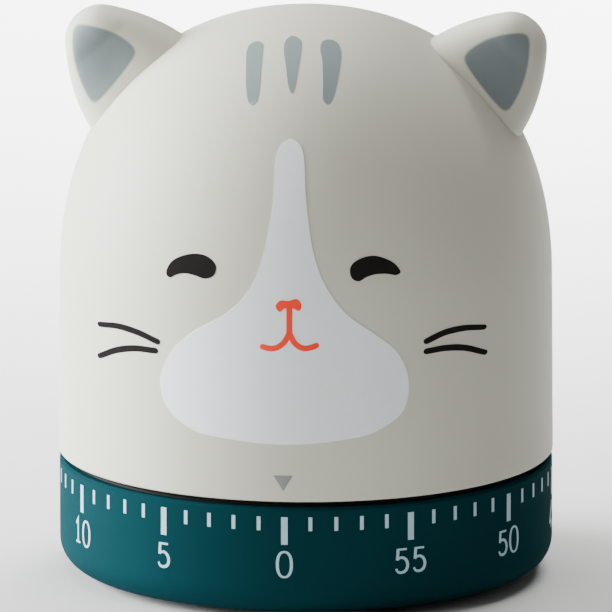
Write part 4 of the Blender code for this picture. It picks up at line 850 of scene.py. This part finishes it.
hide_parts("base_cup")
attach(cup, "base")


# ----------------------------------------
# Scale on the base: sixty printed marks, every fifth one long and numbered, in pale blue ink.  The marks are
# one cube, placed round the cup by Geometry Nodes; the numerals are drawn with a pen of changing width.

SCALE_HEIGHT = 14.3  # top of the marks, in millimetres like the other sizes of the scale
LONG_MARK = (0.86, 3.7)  # width, height
SHORT_MARK = (0.50, 1.85)
MARK_DEPTH = 0.10  # a fifth of it stands out of the wall
NUMERAL_FOOT = 6.1
NUMERAL_HEIGHT = 3.66
NUMERAL_WIDTH = 2.25
NUMERAL_GAP = 0.28
NUMERAL_FILM = 0.03
THIN, THICK = 0.27, 0.40  # widths of the pen


def marks_tree():
    """Blocks round a wall from the front on, every few of them long, with their tops level."""
    tree = bpy.data.node_groups.new("scale_marks", "GeometryNodeTree")
    face = tree.interface
    for name, kind in (
        ("Marks", "Int"), ("Long every", "Int"), ("Radius", "Float"), ("Top", "Float"), ("Depth", "Float"),
        ("Short size", "Vector"), ("Long size", "Vector"), ("Ink", "Material"),
    ):
        face.new_socket(name, in_out="INPUT", socket_type=f"NodeSocket{kind}")
    face.new_socket("Geometry", in_out="OUTPUT", socket_type="NodeSocketGeometry")

    def add(kind, settings=None, values=None):
        node = tree.nodes.new(kind)
        for key, value in (settings or {}).items():
            setattr(node, key, value)
        for key, value in (values or {}).items():
            if isinstance(value, bpy.types.NodeSocket):
                tree.links.new(value, node.inputs[key])
            else:
                node.inputs[key].default_value = value
        return node

    def maths(operation, *values):
        return add("ShaderNodeMath", {"operation": operation}, dict(enumerate(values))).outputs[0]

    given = add("NodeGroupInput").outputs
    spots = add("GeometryNodePoints", values={"Count": given["Marks"]}).outputs[0]
    index = add("GeometryNodeInputIndex").outputs[0]
    angle = maths("MULTIPLY", maths("DIVIDE", index, given["Marks"]), math.tau)
    is_long = maths("LESS_THAN", maths("MODULO", index, given["Long every"]), 0.5)
    sizes = {0: is_long, 4: given["Short size"], 5: given["Long size"]}
    size = add("ShaderNodeMix", {"data_type": "VECTOR"}, sizes)
    height = add("ShaderNodeSeparateXYZ", values={0: size.outputs[1]}).outputs[2]
    level = maths("SUBTRACT", given["Top"], maths("MULTIPLY", height, 0.5))
    reach = maths("MULTIPLY_ADD", given["Depth"], -0.3, given["Radius"])  # a block's middle
    x = maths("MULTIPLY", maths("SINE", angle), reach)
    y = maths("MULTIPLY", maths("COSINE", angle), reach)
    back = maths("MULTIPLY", y, -1.0)
    place = add("ShaderNodeCombineXYZ", values={0: x, 1: back, 2: level}).outputs[0]
    moved = add("GeometryNodeSetPosition", values={"Geometry": spots, "Position": place}).outputs[0]
    cube = add("GeometryNodeMeshCube", values={"Size": (1.0, 1.0, 1.0)}).outputs[0]
    spin = add("ShaderNodeCombineXYZ", values={2: angle}).outputs[0]
    marks = add("GeometryNodeInstanceOnPoints", values={
        "Points": moved, "Instance": cube, "Rotation": spin, "Scale": size.outputs[1],
    }).outputs[0]
    real = add("GeometryNodeRealizeInstances", values={0: marks}).outputs[0]
    inked = add("GeometryNodeSetMaterial", values={"Geometry": real, "Material": given["Ink"]}).outputs[0]
    out = add("NodeGroupOutput")
    tree.links.new(inked, out.inputs[0])
    return tree


def baked(name, tree, inputs):
    """The geometry a node tree makes with these inputs, as a plain mesh."""
    holder = bpy.data.objects.new(name, bpy.data.meshes.new(name))
    bpy.context.scene.collection.objects.link(holder)
    modifier = holder.modifiers.new("nodes", "NODES")
    modifier.node_group = tree
    for item in tree.interface.items_tree:
        if item.in_out == "INPUT" and item.name in inputs:
            modifier[item.identifier] = inputs[item.name]
    bpy.context.view_layer.update()
    mesh = bpy.data.meshes.new_from_object(holder.evaluated_get(bpy.context.evaluated_depsgraph_get()))
    bpy.data.objects.remove(holder)
    return mesh


scale_ink = ink("scale_ink", (0.42, 0.60, 0.68), 0.60)
marks = baked("scale_marks", marks_tree(), {
    "Marks": 60,
    "Long every": 5,
    "Radius": CUP_RADIUS,
    "Top": SCALE_HEIGHT * MM,
    "Depth": MARK_DEPTH * MM,
    "Short size": (SHORT_MARK[0] * MM, MARK_DEPTH * MM, SHORT_MARK[1] * MM),
    "Long size": (LONG_MARK[0] * MM, MARK_DEPTH * MM, LONG_MARK[1] * MM),
    "Ink": scale_ink.material,
})
marks = keep(marks, "scale_marks_fine", scale_ink, None)
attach(marks, "base")


def oval_loop(cx, cy, rx, ry, square=2.3):
    """A nought's outline: an ellipse that is a little square."""
    loop = []
    for i in range(48):
        x, y = math.cos(math.tau * i / 48), math.sin(math.tau * i / 48)
        loop.append((
            cx + math.copysign(abs(x) ** (2 / square), x) * rx,
            cy + math.copysign(abs(y) ** (2 / square), y) * ry,
        ))
    return loop


# Each digit in a box one wide and one high: its strokes, and whether they are curves.
DIGITS = {
    "1": [([(0.20, 0.78), (0.52, 1.0), (0.52, 0.0)], False), ([(0.18, 0.045), (0.86, 0.045)], False)],
    "2": [
        ([(0.06, 0.74), (0.14, 0.90), (0.36, 0.99), (0.66, 0.97), (0.86, 0.83), (0.84, 0.62), (0.62, 0.42),
          (0.30, 0.20), (0.08, 0.05)], True),
        ([(0.06, 0.045), (0.94, 0.045)], False),
    ],
    "3": [
        ([(0.08, 0.82), (0.22, 0.95), (0.48, 1.0), (0.76, 0.93), (0.85, 0.77), (0.74, 0.60),
          (0.42, 0.53)], True),
        ([(0.42, 0.53), (0.78, 0.47), (0.93, 0.27), (0.80, 0.07), (0.48, 0.0), (0.18, 0.05),
          (0.04, 0.20)], True),
    ],
    "4": [([(0.70, 0.0), (0.70, 0.98), (0.05, 0.30), (0.96, 0.30)], False)],
    "5": [
        ([(0.86, 0.955), (0.20, 0.955)], False),
        ([(0.20, 0.99), (0.14, 0.52)], False),
        ([(0.14, 0.53), (0.30, 0.61), (0.52, 0.62), (0.80, 0.52), (0.93, 0.31), (0.80, 0.08), (0.48, 0.0),
          (0.18, 0.04), (0.05, 0.17)], True),
    ],
}


def numeral(text, angle):
    """A numeral on the cup's wall, its middle at that angle to the viewer's left of the front."""
    width = len(text) * NUMERAL_WIDTH + (len(text) - 1) * NUMERAL_GAP
    loops, holes = [], []
    for k, digit in enumerate(text):
        left = -width / 2 + k * (NUMERAL_WIDTH + NUMERAL_GAP)

        def spot(point):
            inset = THICK / 2
            return (
                left + inset + point[0] * (NUMERAL_WIDTH - THICK),
                NUMERAL_FOOT + inset + point[1] * (NUMERAL_HEIGHT - THICK),
            )

        if digit == "0":
            centre = spot((0.5, 0.5))
            half = (NUMERAL_WIDTH / 2, NUMERAL_HEIGHT / 2)
            loops.append(oval_loop(*centre, half[0], half[1]))
            holes.append(oval_loop(*centre, half[0] - THICK, half[1] - THIN))
            continue
        for points, curved in DIGITS[digit]:
            level = abs(points[0][1] - points[-1][1]) < 0.01
            widths = (THIN, THIN) if level else (THIN, THICK, THICK, THIN) if curved else (THICK, THICK)
            loops.append(stroke([spot(point) for point in points], widths, curved, False))

    def on_cup(u, v, outset):
        radius = CUP_RADIUS + outset * MM
        turn = u * MM / CUP_RADIUS - angle
        return (radius * math.sin(turn), -radius * math.cos(turn), v * MM)

    return film(loops, on_cup, NUMERAL_FILM, holes, grid=0.9)


numerals = [numeral(str(5 * i), math.tau * i / 12) for i in range(12)]
printed("scale_numerals", numerals, scale_ink, "base")


# ----------------------------------------
# Glide ring, feet and case screws: an acetal ring that the head turns on, three rubber feet pressed into the
# floor and three zinc-plated screws with crossed slots.

ring_low, ring_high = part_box("glide_ring")
FLANGE_TOP = 15.9 * MM
LIP_OUTER = 29.9 * MM
LIP_INNER = 28.7 * MM
EDGE = 0.15 * MM
ACETAL_DARK = (0.0025, 0.0025, 0.003, 1.0)
ACETAL_LIGHT = (0.004, 0.004, 0.0045, 1.0)
ring_line = [
    (LIP_INNER + EDGE, ring_high.z), (LIP_OUTER - 2 * EDGE, ring_high.z), (LIP_OUTER, ring_high.z - 3 * EDGE),
    (LIP_OUTER, FLANGE_TOP + EDGE), (LIP_OUTER + EDGE, FLANGE_TOP), (ring_high.x - EDGE, FLANGE_TOP),
    (ring_high.x, FLANGE_TOP - EDGE), (ring_high.x, ring_low.z + EDGE), (ring_high.x - EDGE, ring_low.z),
    (LIP_INNER + EDGE, ring_low.z), (LIP_INNER, ring_low.z + EDGE), (LIP_INNER, ring_high.z - EDGE),
]
acetal = Finish("black_acetal", (0.003, 0.003, 0.0035), 0.38, Specular_IOR_Level=0.2)
acetal.set("Roughness", acetal.noise(1.0, 3.0, (1.0, 1.0, 6.0)) * 0.16 + 0.44)
acetal.set("Base Color", acetal.mix(acetal.noise(0.4, 3.0), ACETAL_DARK, ACETAL_LIGHT))
acetal.relief(acetal.noise(2.5, 2.0, (1.0, 1.0, 8.0)), 0.004)
ring = keep(lathe(ring_line, 192, closed=True), "glide_ring_fine", acetal)
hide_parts("glide_ring")
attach(ring, "base")

FOOT_EDGE = 0.3 * MM
FOOT_GROOVE = 0.12 * MM
FOOT_GROOVE_HALF_WIDTH = 0.15 * MM
RUBBER_DARK = (0.017, 0.017, 0.018, 1.0)
RUBBER_WORN = (0.030, 0.030, 0.031, 1.0)
rubber = Finish("black_rubber", (0.022, 0.022, 0.023), 0.78)
rubber.set("Base Color", rubber.mix(rubber.noise(0.9, 4.0), RUBBER_DARK, RUBBER_WORN))
rubber.set("Roughness", rubber.noise(2.2, 3.0) * 0.15 + 0.70)
rubber.relief(rubber.noise(4.0, 3.0), 0.02)
for i in range(1, 4):
    low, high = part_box(f"rubber_foot_{i}")
    radius = (high.x - low.x) / 2
    edge = (radius - FOOT_EDGE, low.z + FOOT_EDGE)
    foot_line = [(0.0, high.z), (radius - FOOT_GROOVE, high.z), (radius, high.z - FOOT_GROOVE)]
    foot_line.append((radius, edge[1]))
    foot_line += arc(edge, FOOT_EDGE, -0.3, -math.pi / 2, 5)
    for k in (4, 3, 2):  # rings for grip
        middle = radius * k / 5.5
        foot_line.append((middle + FOOT_GROOVE_HALF_WIDTH, low.z))
        foot_line.append((middle, low.z + FOOT_GROOVE))
        foot_line.append((middle - FOOT_GROOVE_HALF_WIDTH, low.z))
    foot_line.append((0.0, low.z))
    foot = keep(lathe(foot_line, 72, centre_of(f"rubber_foot_{i}")), f"foot_fine_{i}", rubber)
    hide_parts(f"rubber_foot_{i}")
    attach(foot, "base")

SCREW_RADIUS = 1.0 * MM
SCREW_ROOT = 0.82 * MM
SCREW_PITCH = 0.5 * MM
SCREW_POINT = 0.3 * MM
SCREW_HEAD_RADIUS = 2.2 * MM
SCREW_HEAD_HEIGHT = 1.1 * MM
SCREW_HEAD_ROUND = 0.4 * MM
SCREW_SHANK = 1.2 * MM  # plain, under the head
CROSS_LENGTH = 2.9 * MM
CROSS_WIDTH = 0.62 * MM
CROSS_DEPTH = 0.6 * MM
zinc = Finish("zinc_plate", (0.60, 0.60, 0.57), 0.30, 1.0)
zinc.set("Base Color", zinc.mix(zinc.noise(0.8, 3.0), (0.55, 0.56, 0.55, 1.0), (0.66, 0.64, 0.58, 1.0)))
zinc.set("Roughness", zinc.noise(3.0, 3.0) * 0.22 + 0.22)
zinc.relief(zinc.noise(5.0, 2.0), 0.006)
for i in range(1, 4):
    low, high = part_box(f"case_screw_{i}")
    spot = centre_of(f"case_screw_{i}")
    head_top = low.z + SCREW_HEAD_HEIGHT
    screw_line = [(0.0, high.z), (SCREW_RADIUS - SCREW_POINT, high.z), (SCREW_RADIUS, high.z - SCREW_POINT)]
    level = high.z - SCREW_PITCH
    while level > head_top + SCREW_SHANK:  # thread
        screw_line.append((SCREW_RADIUS, level))
        screw_line.append((SCREW_ROOT, level - 0.4 * SCREW_PITCH))
        screw_line.append((SCREW_RADIUS, level - 0.8 * SCREW_PITCH))
        level -= SCREW_PITCH
    screw_line += [(SCREW_RADIUS, head_top), (SCREW_HEAD_RADIUS - 0.1 * MM, head_top)]
    screw_line.append((SCREW_HEAD_RADIUS, head_top - 0.1 * MM))
    edge = (SCREW_HEAD_RADIUS - SCREW_HEAD_ROUND, low.z + SCREW_HEAD_ROUND)
    screw_line += arc(edge, SCREW_HEAD_ROUND, 0.0, -math.pi / 2, 6) + [(0.0, low.z)]
    screw = lathe(screw_line, 40, spot)
    for turn in (0.0, math.pi / 2):
        bar = round_bar(CROSS_LENGTH, CROSS_WIDTH, low.z - CROSS_DEPTH / 2, low.z + CROSS_DEPTH, spot, turn)
        screw = carve(screw, ("DIFFERENCE", bar))
    screw = keep(screw, f"case_screw_fine_{i}", zinc)
    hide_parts(f"case_screw_{i}")
    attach(screw, "base")


# ----------------------------------------
# Movement, bell and hub plate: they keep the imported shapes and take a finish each.  Steel plates are brushed,
# brass wheels turned, the spring blued, the bell nickel-plated and the hub plate moulded in white.

def brushed_steel(name):
    """Rolled sheet, with its fine lines along X and a little tarnish."""
    made = Finish(name, (0.56, 0.565, 0.57), 0.34, 1.0)
    lines = made.noise(1.0, 3.0, (0.35, 9.0, 9.0))
    made.set("Base Color", made.mix(made.noise(0.15, 4.0), (0.50, 0.51, 0.525, 1.0), (0.62, 0.62, 0.61, 1.0)))
    made.set("Roughness", lines * 0.22 + 0.24)
    made.relief(lines, 0.004)
    return made


def turned_brass(name):
    """Brass with the fine rings of the lathe and a warmer bloom here and there."""
    made = Finish(name, (0.78, 0.56, 0.24), 0.28, 1.0)
    bands = made.node("ShaderNodeTexWave", {"wave_type": "RINGS", "rings_direction": "Z"}, {
        "Vector": made.place(), "Scale": 2.4, "Distortion": 0.6, "Detail": 2.0,
    })
    made.set("Base Color", made.mix(made.noise(0.25, 4.0), (0.72, 0.49, 0.19, 1.0), (0.84, 0.62, 0.30, 1.0)))
    made.set("Roughness", bands * 0.10 + 0.24)
    made.relief(bands, 0.003)
    return made


def blued_spring(name):
    """Tempered spring steel, straw to blue along its length."""
    made = Finish(name, (0.16, 0.17, 0.22), 0.30, 1.0)
    made.set("Base Color", made.mix(made.noise(0.30, 3.0), (0.10, 0.13, 0.24, 1.0), (0.30, 0.24, 0.18, 1.0)))
    made.set("Roughness", made.noise(2.0, 3.0, (1.0, 1.0, 0.2)) * 0.18 + 0.22)
    made.relief(made.noise(3.0, 2.0, (1.0, 1.0, 0.15)), 0.003)
    return made


def nickel_plate(name):
    """Bright plating over a spun bell, with faint spinning rings."""
    made = Finish(name, (0.72, 0.69, 0.64), 0.14, 1.0)
    bands = made.node("ShaderNodeTexWave", {"wave_type": "RINGS", "rings_direction": "Z"}, {
        "Vector": made.place(), "Scale": 0.9, "Distortion": 0.4, "Detail": 3.0,
    })
    made.set("Base Color", made.mix(made.noise(0.1, 3.0), (0.69, 0.67, 0.63, 1.0), (0.75, 0.72, 0.66, 1.0)))
    made.set("Roughness", bands * 0.08 + 0.10)
    made.relief(bands, 0.004)
    return made


def white_moulding(name):
    """Natural white acetal, a little waxy."""
    made = Finish(name, (0.78, 0.77, 0.72), 0.42)
    made.set("Base Color", made.mix(made.noise(0.12, 3.0), (0.74, 0.73, 0.68, 1.0), (0.81, 0.80, 0.76, 1.0)))
    made.set("Roughness", made.noise(1.2, 3.0) * 0.16 + 0.34)
    made.relief(made.noise(2.6, 3.0), 0.006)
    return made


def wool_felt(name):
    """Pressed felt, with its fibres as a coarse tangle."""
    made = Finish(name, (0.20, 0.20, 0.19), 0.95)
    tangle = made.noise(4.0, 6.0, roughness=0.7)
    made.set("Base Color", made.mix(tangle, (0.13, 0.13, 0.12, 1.0), (0.28, 0.28, 0.26, 1.0)))
    made.set("Roughness", tangle * 0.1 + 0.88)
    made.relief(tangle, 0.05)
    return made


FINISHES = {
    "steel": brushed_steel("brushed_steel"),
    "brass": turned_brass("turned_brass"),
    "spring_steel": blued_spring("blued_spring"),
    "nickel": nickel_plate("nickel_plate"),
    "hub_white": white_moulding("white_acetal"),
    "felt": wool_felt("grey_felt"),
}
slot_of = {piece["node"]: piece["material_slot"] for piece in frame["record"]["subparts"]}
for name, node in frame["nodes"].items():
    if node.hide_render:
        continue
    for slot in node.material_slots:
        slot.material = FINISHES[slot_of[name]].material


# ----------------------------------------
# Floor: the top of a wide round table that the timer stands on, of board with a pale matt paint.  It is a
# bare flat disc, with no wall behind it.

TABLE_WHITE = (0.70, 0.70, 0.69)
TABLE_RADIUS = 3.0
table_paint = Finish("table_paint", TABLE_WHITE, 0.85)
table = keep(lathe([(0.0, 0.0), (TABLE_RADIUS, 0.0)], 64), "table", table_paint)
